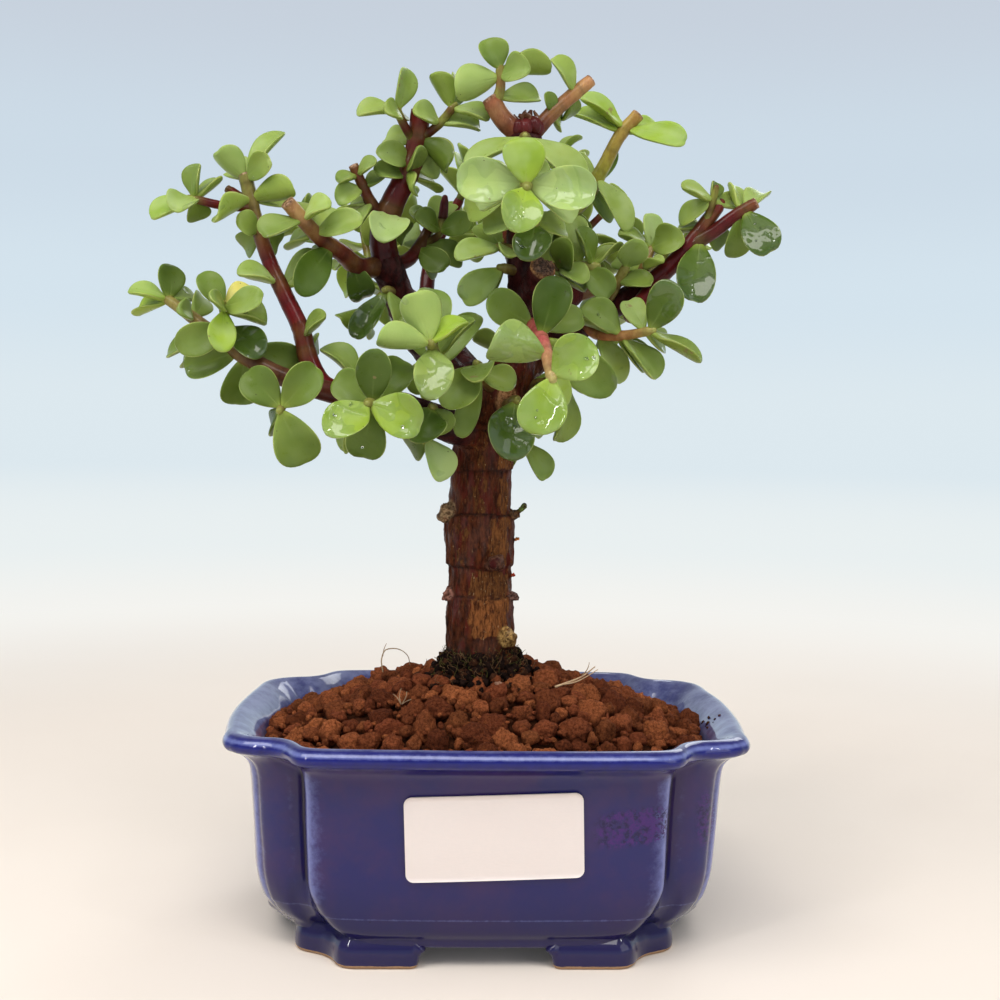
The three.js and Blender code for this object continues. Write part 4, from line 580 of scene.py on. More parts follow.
def tube(path, radii, sides, flat_end=False):
    """Round tube along a path with rounded ends: points, faces, and the way along from 0 to 1."""
    path, radii = np.asarray(path, float), np.asarray(radii, float)
    along = unit(np.gradient(path, axis=0))
    start, end = along[0], along[-1]
    # Quarter-round ends, or a slightly eased edge where the stem was cut.
    steps = np.array([0.985, 0.8, 0.5]) if flat_end else np.array([0.94, 0.77, 0.5, 0.2])
    reach = 0.16 if flat_end else 0.9
    cap_path = [path[-1] + end * radii[-1] * reach * math.sqrt(1 - s * s) for s in steps]
    full = np.vstack([path, cap_path])
    widths = np.concatenate([radii, radii[-1] * steps])
    ways = np.vstack([along, np.tile(end, (len(steps), 1))])
    side = np.array([1.0, 3.0, 0.2])
    angles = 2 * np.pi * np.arange(sides) / sides
    rings = []
    for point, width, way in zip(full, widths, ways):
        side = unit(side - side.dot(way) * way)
        across = np.cross(way, side)
        rings.append(point + width * (np.outer(np.cos(angles), side) + np.outer(np.sin(angles), across)))
    points = np.vstack([path[0] - start * radii[0] * 0.3, *rings,
                        full[-1] + end * radii[-1] * (0.0 if flat_end else 0.02)])
    share = np.concatenate([[0], np.repeat(np.linspace(0, 1, len(full)), sides), [1]])
    return points, capped(len(full), sides), share


def sphere_points(level):
    """Corners and triangles of an icosahedron, split `level` times and blown up to a sphere."""
    gold = (1 + math.sqrt(5)) / 2
    points = unit(np.array([
        (-1, gold, 0), (1, gold, 0), (-1, -gold, 0), (1, -gold, 0), (0, -1, gold), (0, 1, gold),
        (0, -1, -gold), (0, 1, -gold), (gold, 0, -1), (gold, 0, 1), (-gold, 0, -1), (-gold, 0, 1)], float))
    faces = np.array([
        (0, 11, 5), (0, 5, 1), (0, 1, 7), (0, 7, 10), (0, 10, 11), (1, 5, 9), (5, 11, 4), (11, 10, 2),
        (10, 7, 6), (7, 1, 8), (3, 9, 4), (3, 4, 2), (3, 2, 6), (3, 6, 8), (3, 8, 9), (4, 9, 5),
        (2, 4, 11), (6, 2, 10), (8, 6, 7), (9, 8, 1)])
    for _ in range(level):
        edges = np.sort(np.concatenate([faces[:, [0, 1]], faces[:, [1, 2]], faces[:, [2, 0]]]), axis=1)
        edges, index = np.unique(edges, axis=0, return_inverse=True)
        a, b, c = index.reshape(3, -1) + len(points)
        points = unit(np.vstack([points, points[edges].mean(axis=1)]))
        x, y, z = faces.T
        faces = np.concatenate([np.stack(t, -1) for t in ((x, a, c), (y, b, a), (z, c, b), (a, b, c))])
    return points, faces


# ---- Materials ------------------------------------------------------------------------------

class Paint:
    """A node material built round one Principled shader. Lengths of its textures are in mm."""

    def __init__(self, name, **constants):
        self.material = bpy.data.materials.new(name)
        self.material.use_nodes = True
        self.tree = self.material.node_tree
        self.shader = self.tree.nodes["Principled BSDF"]
        self.where = self.tree.nodes.new("ShaderNodeTexCoord").outputs["Object"]
        split = self.node("ShaderNodeSeparateXYZ", {0: self.where})
        self.height = self.math("DIVIDE", split.outputs["Z"], MM)
        self.bump_chain = None
        self.set(**constants)

    def wire(self, socket, value):
        if isinstance(value, bpy.types.NodeSocket):
            self.tree.links.new(value, socket)
        else:
            socket.default_value = (*value, 1.0) if socket.type == "RGBA" and len(value) == 3 else value

    def node(self, kind, inputs, **settings):
        made = self.tree.nodes.new(kind)
        for key, value in settings.items():
            setattr(made, key, value)
        for key, value in inputs.items():
            self.wire(made.inputs[key], value)
        return made

    def set(self, **inputs):
        """Sets or wires the shader's inputs, named with _ for a space."""
        for key, value in inputs.items():
            self.wire(self.shader.inputs[key.replace("_", " ")], value)

    def math(self, operation, a, b=0.0, c=0.0, clamp=False):
        made = self.node("ShaderNodeMath", {0: a, 1: b, 2: c}, operation=operation, use_clamp=clamp)
        return made.outputs[0]

    def attribute(self, name):
        made = self.node("ShaderNodeAttribute", {}, attribute_name=name)
        return made.outputs["Fac"]

    def tint(self, name="tint"):
        return self.node("ShaderNodeAttribute", {}, attribute_name=name).outputs["Color"]

    def coords(self, stretch=(1, 1, 1)):
        """The place on the object in millimetres, divided by `stretch`."""
        scale = tuple(1 / (MM * s) for s in stretch)
        return self.node("ShaderNodeMapping", {"Vector": self.where, "Scale": scale}).outputs[0]

    def noise(self, size, detail=3.0, rough=0.55, warp=0.0, stretch=(1, 1, 1)):
        """Noise from 0 to 1 with lumps of about `size` mm."""
        return self.node("ShaderNodeTexNoise", {
            "Vector": self.coords(stretch), "Scale": 1 / size, "Detail": detail, "Roughness": rough,
            "Distortion": warp}).outputs["Fac"]

    def cells(self, size, feature="F1", output="Distance", stretch=(1, 1, 1)):
        return self.node("ShaderNodeTexVoronoi", {"Vector": self.coords(stretch), "Scale": 1 / size},
                         feature=feature).outputs[output]

    def fit(self, value, low, high, to_low=0.0, to_high=1.0, smooth=True):
        """Maps low..high of a value to another range."""
        return self.node("ShaderNodeMapRange", {
            "Value": value, "From Min": low, "From Max": high, "To Min": to_low, "To Max": to_high},
            interpolation_type="SMOOTHSTEP" if smooth else "LINEAR").outputs["Result"]

    def mix(self, share, a, b, blend="MIX"):
        made = self.node("ShaderNodeMix", {}, data_type="RGBA", blend_type=blend)
        self.wire(made.inputs["Factor"], share)
        self.wire(made.inputs[6], a)
        self.wire(made.inputs[7], b)
        return made.outputs[2]

    def bump(self, height, depth):
        """Adds relief: a height from 0 to 1 that stands for `depth` mm."""
        inputs = {"Height": height, "Strength": 1.0, "Distance": depth * MM}
        if self.bump_chain:
            inputs["Normal"] = self.bump_chain
        self.bump_chain = self.node("ShaderNodeBump", inputs).outputs[0]
        self.set(Normal=self.bump_chain)


def glaze_paint():
    """Cobalt glaze that thins to pale blue on edges, over a tan body that shows under the feet, with painted
    highlight and shade.
    """
    paint = Paint("glaze", Coat_Roughness=0.04, Coat_IOR=1.42, Specular_IOR_Level=0.08)
    cloud = paint.noise(16, 4, 0.6)
    body = paint.mix(paint.fit(cloud, 0.35, 0.68), (0.010, 0.010, 0.098), (0.030, 0.014, 0.088))
    # Painted shade: the body darkens towards the bottom.
    low = paint.fit(paint.height, 26, 6)
    body = paint.mix(paint.math("MULTIPLY", low, 0.8), body, (0.008, 0.006, 0.052))
    lip = paint.mix(paint.noise(3, 3), (0.003, 0.003, 0.075), (0.008, 0.010, 0.175))
    colour = paint.mix(paint.attribute("lip"), body, lip)
    # Inside the pot and on top of the lip the glaze is paler in patches: partly its own colour, partly
    # painted reflection of the bright surroundings.
    inner = paint.mix(paint.fit(paint.noise(6, 4, 0.65), 0.3, 0.7), (0.040, 0.046, 0.17), (0.15, 0.17, 0.33))
    colour = paint.mix(paint.attribute("inner"), colour, inner)
    # Pale blue where the glaze thins on edges; the same pale blue paints highlight bands along the panel's
    # and lobes' edges and along the lip.
    ragged = paint.math("MULTIPLY_ADD", paint.math("SUBTRACT", paint.noise(2.2, 4, 0.7), 0.5), 0.8,
                        paint.attribute("thin"))
    colour = paint.mix(paint.fit(ragged, 0.25, 1.15, 0, 0.85), colour, (0.16, 0.19, 0.46))
    # Painted shade: the groove beside the panel is darkened in the colour.
    colour = paint.mix(paint.fit(paint.attribute("groove"), 0.3, 0.9, 0, 0.9), colour, (0.020, 0.014, 0.034))
    # A patch of purple specks on the front panel, and a few on the right lobe.
    patch = paint.attribute("patch")
    specks = paint.fit(paint.noise(0.7, 4, 0.75), 0.47, 0.50)
    heart = paint.math("MULTIPLY", paint.fit(patch, 0.55, 1.0), paint.fit(paint.noise(3.4, 3), 0.42, 0.56))
    colour = paint.mix(paint.math("MULTIPLY", heart, 0.8), colour, (0.040, 0.006, 0.120))
    speck_colour = paint.mix(paint.fit(paint.noise(1.7, 2), 0.4, 0.6),
                             (0.006, 0.002, 0.045), (0.046, 0.006, 0.125))
    colour = paint.mix(paint.math("MULTIPLY", paint.fit(patch, 0.1, 0.6), specks, clamp=True),
                       colour, speck_colour)
    pits = paint.fit(paint.cells(2.6), 0.07, 0.045)
    pits = paint.math("MULTIPLY", pits, paint.fit(paint.noise(7, 1), 0.6, 0.66))
    colour = paint.mix(pits, colour, (0.004, 0.003, 0.010))
    bare = paint.math("MULTIPLY_ADD", paint.math("SUBTRACT", paint.noise(2.5, 3), 0.5), 0.5,
                      paint.attribute("bare"))
    bare = paint.fit(bare, 0.42, 0.58)
    clay = paint.mix(paint.noise(0.9, 5, 0.7), (0.30, 0.17, 0.09), (0.46, 0.30, 0.18))
    paint.set(Base_Color=paint.mix(bare, colour, clay),
              Roughness=paint.fit(bare, 0, 1, 0.30, 0.85),
              Coat_Weight=paint.fit(bare, 0, 1, 1.0, 0.0))
    paint.bump(paint.noise(4.5, 2), 0.10)
    paint.bump(paint.noise(0.9, 2), 0.012)
    return paint.material


def leaf_paint():
    """Fleshy leaf: a satin skin with a pale margin, under a water film that is widest on wet leaves."""
    paint = Paint("leaf", Subsurface_Weight=0.12, Subsurface_Radius=(0.6, 1.0, 0.2),
                  Subsurface_Scale=0.0012, Coat_IOR=1.45, Coat_Roughness=0.03, Specular_IOR_Level=0.15)
    along, across, upper = (paint.attribute(key) for key in ("leaf_t", "leaf_s", "leaf_up"))
    out = paint.math("ABSOLUTE", across)
    deep = paint.mix(1.0, paint.tint(), (0.50, 0.60, 0.42), "MULTIPLY")
    colour = paint.mix(paint.fit(paint.noise(6, 2, 0.5), 0.25, 0.85, 0, 0.5), paint.tint(), deep)
    sunny = paint.mix(1.0, paint.tint(), (1.40, 1.22, 1.0), "MULTIPLY")
    colour = paint.mix(paint.fit(paint.noise(10, 1, 0.5), 0.35, 0.8, 0, 0.35), colour, sunny)
    # A pale bloom on the upper side, rubbed off in places and fullest on pale young leaves; it is also
    # painted sheen, the sky's pale reflection on the upper faces.
    bloom_and_sheen = paint.math("MULTIPLY", paint.fit(upper, -0.1, 0.5),
                       paint.fit(paint.noise(8, 2, 0.6), 0.36, 0.66, 0.05, 0.36))
    bloom_and_sheen = paint.math("MULTIPLY", bloom_and_sheen, paint.fit(paint.tint(), 0.14, 0.36, 0.15, 1.0))
    colour = paint.mix(bloom_and_sheen, colour, (0.40, 0.50, 0.24))
    under = paint.fit(upper, 0.2, -0.4)
    colour = paint.mix(paint.math("MULTIPLY", under, 0.25), colour, (0.26, 0.34, 0.06))
    colour = paint.mix(paint.fit(along, 0.24, 0.03, 0, 0.6), colour, (0.33, 0.41, 0.07))
    rib = paint.math("MULTIPLY", paint.fit(out, 0.13, 0.0), paint.fit(along, 0.65, 0.15, 0, 1.0))
    colour = paint.mix(paint.math("MULTIPLY", rib, 0.14), colour, (0.36, 0.45, 0.14))
    rim = paint.math("MULTIPLY", paint.fit(out, 0.93, 0.995), paint.fit(along, 0.05, 0.3))
    rim = paint.math("MAXIMUM", rim, paint.fit(along, 0.986, 0.999))
    rim = paint.math("MULTIPLY", rim, paint.fit(paint.noise(5, 2), 0.35, 0.62, 0.2, 0.75))
    rim_colour = paint.mix(paint.noise(6, 2), (0.46, 0.56, 0.19), (0.36, 0.36, 0.10))
    colour = paint.mix(rim, colour, rim_colour)
    specks = paint.math("MULTIPLY", paint.fit(paint.cells(1.9), 0.10, 0.06),
                        paint.fit(paint.noise(5, 1), 0.58, 0.62))
    colour = paint.mix(specks, colour, (0.05, 0.025, 0.01))
    scar = paint.math("MULTIPLY", paint.fit(paint.noise(4.4, 3, 0.6), 0.70, 0.74), 0.8)
    colour = paint.mix(scar, colour, (0.22, 0.16, 0.07))
    # Water runs to the tip, so the film is deepest there.
    pool = paint.math("MULTIPLY_ADD", along, 0.22,
                      paint.math("MULTIPLY_ADD", paint.noise(5.5, 1, 0.3, 0.4), 0.75, 0.015))
    depth = paint.math("MULTIPLY_ADD", paint.attribute("wet"), 0.26, pool)
    film = paint.fit(depth, 0.73, 0.75)
    paint.set(Base_Color=paint.mix(paint.math("MULTIPLY", film, 0.3), colour, deep), Coat_Weight=film,
              Roughness=paint.fit(paint.noise(2.0, 3), 0.3, 0.7, 0.27, 0.40))
    paint.bump(paint.noise(0.42, 3, 0.6), 0.022)
    ripple = paint.math("MULTIPLY", paint.noise(1.5, 3, 0.6, 0.6), paint.fit(under, 0, 1, 0.4, 1.0))
    paint.bump(ripple, 0.08)
    paint.bump(paint.math("MULTIPLY", rib, -1.0), 0.08)
    # The film of water has its own smooth skin with a rounded edge.
    level = paint.math("MULTIPLY_ADD", paint.noise(2.6, 1), 0.25, paint.fit(depth, 0.72, 0.83))
    skin = paint.node("ShaderNodeBump", {"Height": level, "Strength": 1.0, "Distance": 0.6 * MM})
    paint.set(Coat_Normal=skin.outputs[0])
    return paint.material


def stem_paint():
    """Smooth young bark, glossy, with pale lengthwise streaks and dry cut ends."""
    paint = Paint("stem", Coat_Roughness=0.10, Coat_IOR=1.4, Coat_Weight=0.35, Specular_IOR_Level=0.06)
    cloud = paint.noise(2.4, 4, 0.65, 0.2, (1, 1, 2))
    colour = paint.mix(paint.fit(cloud, 0.35, 0.7, 0, 0.7), paint.tint(), (0.55, 0.40, 0.38), "MULTIPLY")
    streak = paint.fit(paint.noise(0.8, 3, 0.6, 0.0, (1, 1, 4)), 0.62, 0.76, 0, 0.4)
    pale = paint.mix(1.0, paint.tint(), (2.1, 2.0, 1.9), "MULTIPLY")
    colour = paint.mix(streak, colour, pale)
    dry = paint.mix(paint.fit(paint.noise(0.9, 3), 0.35, 0.65), (0.09, 0.04, 0.02), (0.42, 0.25, 0.15))
    colour = paint.mix(paint.attribute("cut"), colour, dry)
    paint.set(Base_Color=colour, Roughness=paint.fit(cloud, 0.3, 0.7, 0.30, 0.5))
    paint.bump(paint.noise(0.6, 3), 0.05)
    paint.bump(paint.noise(2.0, 2), 0.14)
    return paint.material


def bark_paint():
    """Flaky bark of the trunk, turning to smooth dark red bark on the limbs."""
    paint = Paint("bark", Specular_IOR_Level=0.07, Coat_Roughness=0.14, Coat_IOR=1.33)
    young, crack, worn, gold = (paint.attribute(key) for key in ("young", "crack", "ochre", "gold"))
    dark = paint.mix(paint.fit(paint.noise(1.2, 5, 0.7, 0.2, (1, 1, 3.5)), 0.3, 0.7), (0.016, 0.003, 0.001),
                     (0.130, 0.033, 0.011))
    red = paint.fit(paint.noise(3.4, 3, 0.6, 0.2, (1, 1, 3)), 0.50, 0.62, 0, 0.75)
    dark = paint.mix(red, dark, (0.092, 0.011, 0.007))
    fibre = paint.noise(0.55, 5, 0.75, 0.2, (1, 1, 5))
    bright = paint.mix(gold, (0.140, 0.056, 0.016), (0.30, 0.105, 0.030))
    ochre = paint.mix(paint.fit(fibre, 0.36, 0.60), (0.042, 0.012, 0.004), bright)
    net = paint.fit(paint.cells(0.9, "DISTANCE_TO_EDGE", stretch=(1, 1, 2.2)), 0.09, 0.02, 0, 0.28)
    ochre = paint.mix(net, ochre, (0.030, 0.012, 0.005))
    blotch = paint.math("SUBTRACT", paint.noise(2.2, 6, 0.75, 0.4, (1, 1, 2.4)), 0.5)
    share = paint.math("MULTIPLY_ADD", blotch, 2.2, worn)
    old = paint.mix(paint.fit(share, 0.34, 0.52, 0, 0.95), dark, ochre)
    fleck = paint.math("MULTIPLY", paint.fit(paint.noise(0.42, 3, 0.7, 0.0, (1, 1, 3.6)), 0.64, 0.72),
                       paint.fit(share, 0.2, 0.6, 0.25, 0.9))
    old = paint.mix(fleck, old, (0.56, 0.38, 0.20))
    smooth = paint.mix(paint.fit(paint.noise(3.4, 4, 0.65, 0.2, (1, 1, 2)), 0.3, 0.7), (0.014, 0.003, 0.003),
                       (0.070, 0.010, 0.009))
    colour = paint.mix(young, old, smooth)
    colour = paint.mix(paint.math("MULTIPLY", crack, 0.85), colour, (0.008, 0.004, 0.003))
    raw = paint.mix(paint.fit(paint.noise(1.0, 5, 0.8, 0.5), 0.40, 0.62),
                    (0.016, 0.009, 0.007), (0.20, 0.11, 0.07))
    colour = paint.mix(paint.attribute("cut"), colour, raw)
    shade = paint.mix(paint.fit(paint.noise(0.9, 4, 0.7), 0.35, 0.65), (0.35, 0.30, 0.28), (1.7, 1.65, 1.6))
    callus = paint.mix(1.0, paint.tint("knob"), shade, "MULTIPLY")
    colour = paint.mix(paint.attribute("callus"), colour, callus)
    moss = paint.math("MULTIPLY", paint.attribute("damp"), paint.fit(paint.noise(1.3, 3), 0.36, 0.50))
    colour = paint.mix(moss, colour, (0.010, 0.008, 0.005))
    gloss = paint.math("MULTIPLY", paint.fit(paint.noise(2.6, 3, 0.5, 0.0, (1, 1, 3)), 0.45, 0.6, 0.0, 0.55),
                       paint.fit(share, 0.50, 0.30))
    paint.set(Base_Color=colour, Coat_Weight=gloss, Roughness=paint.fit(fibre, 0.3, 0.7, 0.45, 0.75))
    paint.bump(paint.noise(0.38, 5, 0.75, 0.0, (1, 1, 3)), 0.22)
    paint.bump(fibre, 0.40)
    paint.set(Coat_Normal=paint.bump_chain)
    return paint.material


def crumb_paint():
    """Baked clay grit: dull red-brown crumbs, each of its own shade."""
    paint = Paint("clay_grit", Roughness=0.92, Specular_IOR_Level=0.06)
    fine = paint.noise(0.7, 6, 0.75)
    colour = paint.mix(paint.fit(fine, 0.32, 0.68), (0.40, 0.36, 0.34), (1.45, 1.40, 1.35))
    colour = paint.mix(1.0, paint.tint(), colour, "MULTIPLY")
    rust = paint.fit(paint.noise(2.4, 4, 0.7), 0.58, 0.72, 0, 0.5)
    colour = paint.mix(rust, colour, (0.30, 0.090, 0.024))
    # Painted shade in the pores of the crumbs.
    pore_shade = paint.fit(paint.cells(0.55), 0.26, 0.10, 0, 0.6)
    paint.set(Base_Color=paint.mix(pore_shade, colour, (0.020, 0.008, 0.005)))
    paint.bump(paint.noise(0.35, 6, 0.8), 0.42)
    paint.bump(paint.noise(1.1, 5, 0.75), 0.62)
    return paint.material


def plain_paint(name, dark, pale, size, **constants):
    """A colour that wanders between two, with a fine relief."""
    paint = Paint(name, **constants)
    paint.set(Base_Color=paint.mix(paint.fit(paint.noise(size, 4, 0.6), 0.3, 0.7), dark, pale))
    paint.bump(paint.noise(size / 3, 3), size / 30)
    return paint.material


def label_paint():
    """White coated card with a faint fibre."""
    paint = Paint("label_card", Coat_Weight=0.35, Coat_Roughness=0.18)
    colour = paint.mix(paint.noise(9, 3), (0.785, 0.685, 0.645), (0.81, 0.72, 0.68))
    fibre = paint.fit(paint.noise(0.5, 4, 0.7, 0.0, (3, 1, 1)), 0.3, 0.7)
    paint.set(Base_Color=paint.mix(paint.fit(fibre, 0, 1, 0, 0.12), colour, (0.70, 0.66, 0.63)),
              Roughness=paint.fit(fibre, 0, 1, 0.42, 0.55))
    paint.bump(fibre, 0.012)
    return paint.material


def water_paint():
    paint = Paint("water", Transmission_Weight=1.0, IOR=1.33, Roughness=0.01, Base_Color=(0.97, 1.0, 0.96))
    paint.bump(paint.noise(2.4, 1), 0.02)
    return paint.material


# ---- Pot ------------------------------------------------------------------------------------

def inset_at(wall, z):
    return np.interp(z, [row[0] for row in wall], [row[1] for row in wall])


def pot_quarter(inset, groove, lip):
    """Corners of a quarter of the pot's outline as (x, y), from the front's middle to the side's.

    The step beside the panel is a sharp groove on the wall and an easy bend on the lip. The third
    number of each row is how pale the glaze is there, on edges and as painted highlight, the fourth how deep
    it lies in the groove, for painted shade there.
    """
    bulge = POT["bulge"]
    front = POT["depth"] / 2 - inset
    side = POT["length"] / 2 - inset
    panel = POT["panel"] - inset / 2
    end = front - bulge
    notch = np.array([panel + 0.9, end - 9.2])
    corner = np.array([POT["corner"][0] - inset, POT["corner"][1] - 0.75 * inset])
    turn = corner + (1.4, -3)
    way = unit(corner - notch)
    out = np.array([-way[1], way[0]])

    def on_lobe(share, rise, thin):
        return (*(notch + share * (corner - notch) + rise * out), thin, 0)

    bow = [(share * panel, front - bulge * share**2, 0, 0) for share in (0, 0.2, 0.4, 0.6, 0.78)]
    # The third numbers here paint highlight bands along the panel's edge, its corner and the lobes, as well
    # as glaze thinning on edges; the fourth paints shade in the groove.
    wall = [
        (panel - 6.0, front - 0.80 * bulge, 0.14, 0), (panel - 3.6, front - 0.97 * bulge, 0.4, 0),
        (panel - 1.9, end - 0.5, 0.65, 0), (panel - 0.7, end - 1.5, 1.0, 0),
        (panel - 0.05, end - 3.1, 0.6, 0), (panel + 0.25, end - 5.2, 0.1, 0.2),
        (panel + 0.5, end - 7.4, 0, 0.9), (panel + 0.9, end - 9.0 - 0.5 * groove, 0, 1.0),
        on_lobe(0.10, 0.55, 0.1), on_lobe(0.22, 1.35, 0.3), on_lobe(0.36, 1.8, 0.12),
        on_lobe(0.52, 1.9, 0), on_lobe(0.70, 1.65, 0.1), on_lobe(0.87, 0.9, 0.35),
    ]
    rim = [
        (panel - 8.0, front - 0.72 * bulge, 0, 0), (panel - 5.8, front - 0.92 * bulge, 0, 0),
        (panel - 3.8, end - 0.35, 0, 0), (panel - 2.2, end - 1.2, 0.1, 0),
        (panel - 0.9, end - 2.6, 0.2, 0), (panel + 0.1, end - 4.4, 0.2, 0),
        (panel + 1.1, end - 6.4, 0.1, 0), (panel + 2.3, end - 8.2, 0, 0),
        (panel + 4.0, end - 9.7, 0, 0), (panel + 6.2, end - 10.8, 0, 0), on_lobe(0.54, 1.0, 0),
        on_lobe(0.67, 1.1, 0), on_lobe(0.79, 0.95, 0), on_lobe(0.90, 0.55, 0.1),
    ]
    bend = np.array(wall) * (1 - lip) + np.array(rim) * lip
    rest = [
        (corner[0] - 0.7, corner[1] + 0.35, 0.5, 0), (corner[0] + 0.5, corner[1] - 0.9, 1.0, 0),
        (*turn, 0.5, 0), (side - 0.62 * (side - turn[0]), 0.74 * turn[1], 0.1, 0),
        (side - 0.28 * (side - turn[0]), 0.48 * turn[1], 0, 0),
        (side - 0.07 * (side - turn[0]), 0.24 * turn[1], 0, 0), (side, 0, 0, 0),
    ]
    return np.vstack([bow, bend, rest])


def pot_outline(inset, groove=0.0, lip=0.0, per_span=4):
    """Smooth outline of the pot, counter-clockwise from above: rows of x, y, glaze paleness with painted
    highlight, and groove depth for painted shade.
    """
    quarter = pot_quarter(inset, groove, lip)
    back = quarter[-2::-1] * (1, -1, 1, 1)
    half = np.vstack([quarter, back])
    ring = np.vstack([half, half[-2:0:-1] * (-1, 1, 1, 1)])
    ring[:, 1] *= -1
    a, b, c, d = (np.roll(ring, shift, axis=0) for shift in (1, 0, -1, -2))
    spans = [np.linalg.norm((q - p)[:, :2], axis=1)[:, None] for p, q in ((a, b), (b, c), (c, d))]
    ab, bc, cd = spans
    leave = (ab * (c - b) + bc * bc * (b - a) / ab) / (ab + bc)
    reach = (bc * bc * (d - c) / cd + cd * (c - b)) / (bc + cd)
    rows = []
    for t in np.arange(per_span) / per_span:
        rows.append((1 + 2 * t) * (1 - t) ** 2 * b + t * (1 - t) ** 2 * leave
                    + t * t * (3 - 2 * t) * c - t * t * (1 - t) * reach)
    return np.stack(rows, 1).reshape(-1, 4)


def drawn_in(ring, z):
    """The outline with its corners drawn in towards the feet, as the pot's lower corners are."""
    x, y = np.abs(ring[:, 0]), np.abs(ring[:, 1])
    inward = 0.032 * max(0.0, 21.9 - z) ** 2 * (1 - 0.36 * ease(47, 52, x))
    ring = ring.copy()
    ring[:, 0] -= np.sign(ring[:, 0]) * inward * ease(24, 45, x) * ease(14, 33, y)
    ring[:, 1] -= np.sign(ring[:, 1]) * 0.7 * inward * ease(50, 58, x) * ease(6, 30, y)
    return ring


def resampled_wall(wall, step):
    """The wall's (height, inset) rows on a smooth curve, about `step` apart."""
    path, _ = smooth_path([(z, inset, 0) for z, inset in wall], [0] * len(wall), step)
    return path[:, :2]


def glaze_values(z, thin, groove, outside, x, y):
    """How the glaze lies at points of the pot, with its painted highlights and the painted shade in the
    groove, as values for its paint.
    """
    lip = ease(51.6, 52.9, z) * (1 - ease(56.7, 57.2, z)) * outside
    inner = np.where(outside > 0.5, 0.8 * ease(56.7, 57.25, z), ease(48, 52, z))
    # Glaze thins on edges; the lines at z 13.2 and 5.5 and the bands at z 49.6 and along the lip at z 55.9
    # are painted as highlights.
    line = np.exp(-((z - 13.2) / 0.36) ** 2) * 0.6 + np.exp(-((z - 5.5) / 0.5) ** 2) * 0.35
    body = ease(10, 14, z) * (1 - ease(50, 52.5, z))
    thinness = outside * np.maximum(thin * (0.25 + 0.75 * body), line)
    thinness = np.maximum(thinness, 0.25 * outside * np.exp(-((z - 49.6) / 0.7) ** 2))
    thinness = np.maximum(thinness, 0.95 * outside * np.exp(-((z - 55.9) / 0.7) ** 2))
    patch = np.exp(-((x - 36.0) / 9.0) ** 4 - ((z - 37.0 - 0.12 * (x - 36)) / 4.6) ** 4) * (y < -40)
    lobe = 0.75 * np.exp(-((x - 56) / 3) ** 2 - ((z - 36) / 8) ** 2) * (y < -20)
    fading = ease(14, 21, z) * (1 - ease(48, 51, z))
    return dict(lip=lip, inner=inner, thin=np.clip(thinness, 0, 1.2), groove=outside * groove * fading,
                patch=np.maximum(patch, lobe) * outside, bare=0 * z)


def build_pot(paint):
    heap = Heap()
    wall = resampled_wall(POT_WALL, 0.72)
    top = int(np.argmax(wall[:, 0]))
    rings = []
    for i, (z, inset) in enumerate(wall):
        outer = i <= top
        groove = float(ease(11, 18, z) * (1 - ease(47, 51, z))) if outer else 0.0
        smooth = max(float(ease(47.5, 52.6, z)), 0.9 * float(ease(21, 12, z))) if outer else 1.0
        ring = pot_outline(inset, groove, smooth)
        if outer:
            ring = drawn_in(ring, z)
        wave = 0.22 * layered_noise(np.column_stack([ring[:, :2] / 24, np.full(len(ring), z / 20)]), 2)
        ring[:, :2] *= 1 - (wave + 0.22)[:, None] / 70 * ease(8.3, 20, z)
        rings.append(np.column_stack([ring, np.full(len(ring), z), np.full(len(ring), outer)]))
    sides = len(rings[0])
    grid = np.vstack(rings)
    x, y, thin, groove, z, outside = grid.T
    points = np.vstack([[(0, 0, wall[0, 0])], np.column_stack([x, y, z]), [(0, 0, wall[-1, 0])]])
    values = glaze_values(z, thin, groove, outside, x, y)
    values = {key: np.concatenate([[0], value, [0]]) for key, value in values.items()}
    heap.add(points, capped(len(rings), sides), **values)
    for sx in (1, -1):
        for sy in (1, -1):
            points, faces = foot(sx, sy)
            height = points[:, 2]
            none = 0 * height
            heap.add(points, faces, lip=none, inner=none, groove=none, patch=none,
                     thin=0.25 * np.exp(-((height - 1.9) / 0.7) ** 2),
                     bare=1 - ease(0.5, 1.3, height))
    pot = heap.build("pot_glazed", paint, slot="glaze", stands_for=["pot"])
    cut_drain_holes(pot)
    return pot


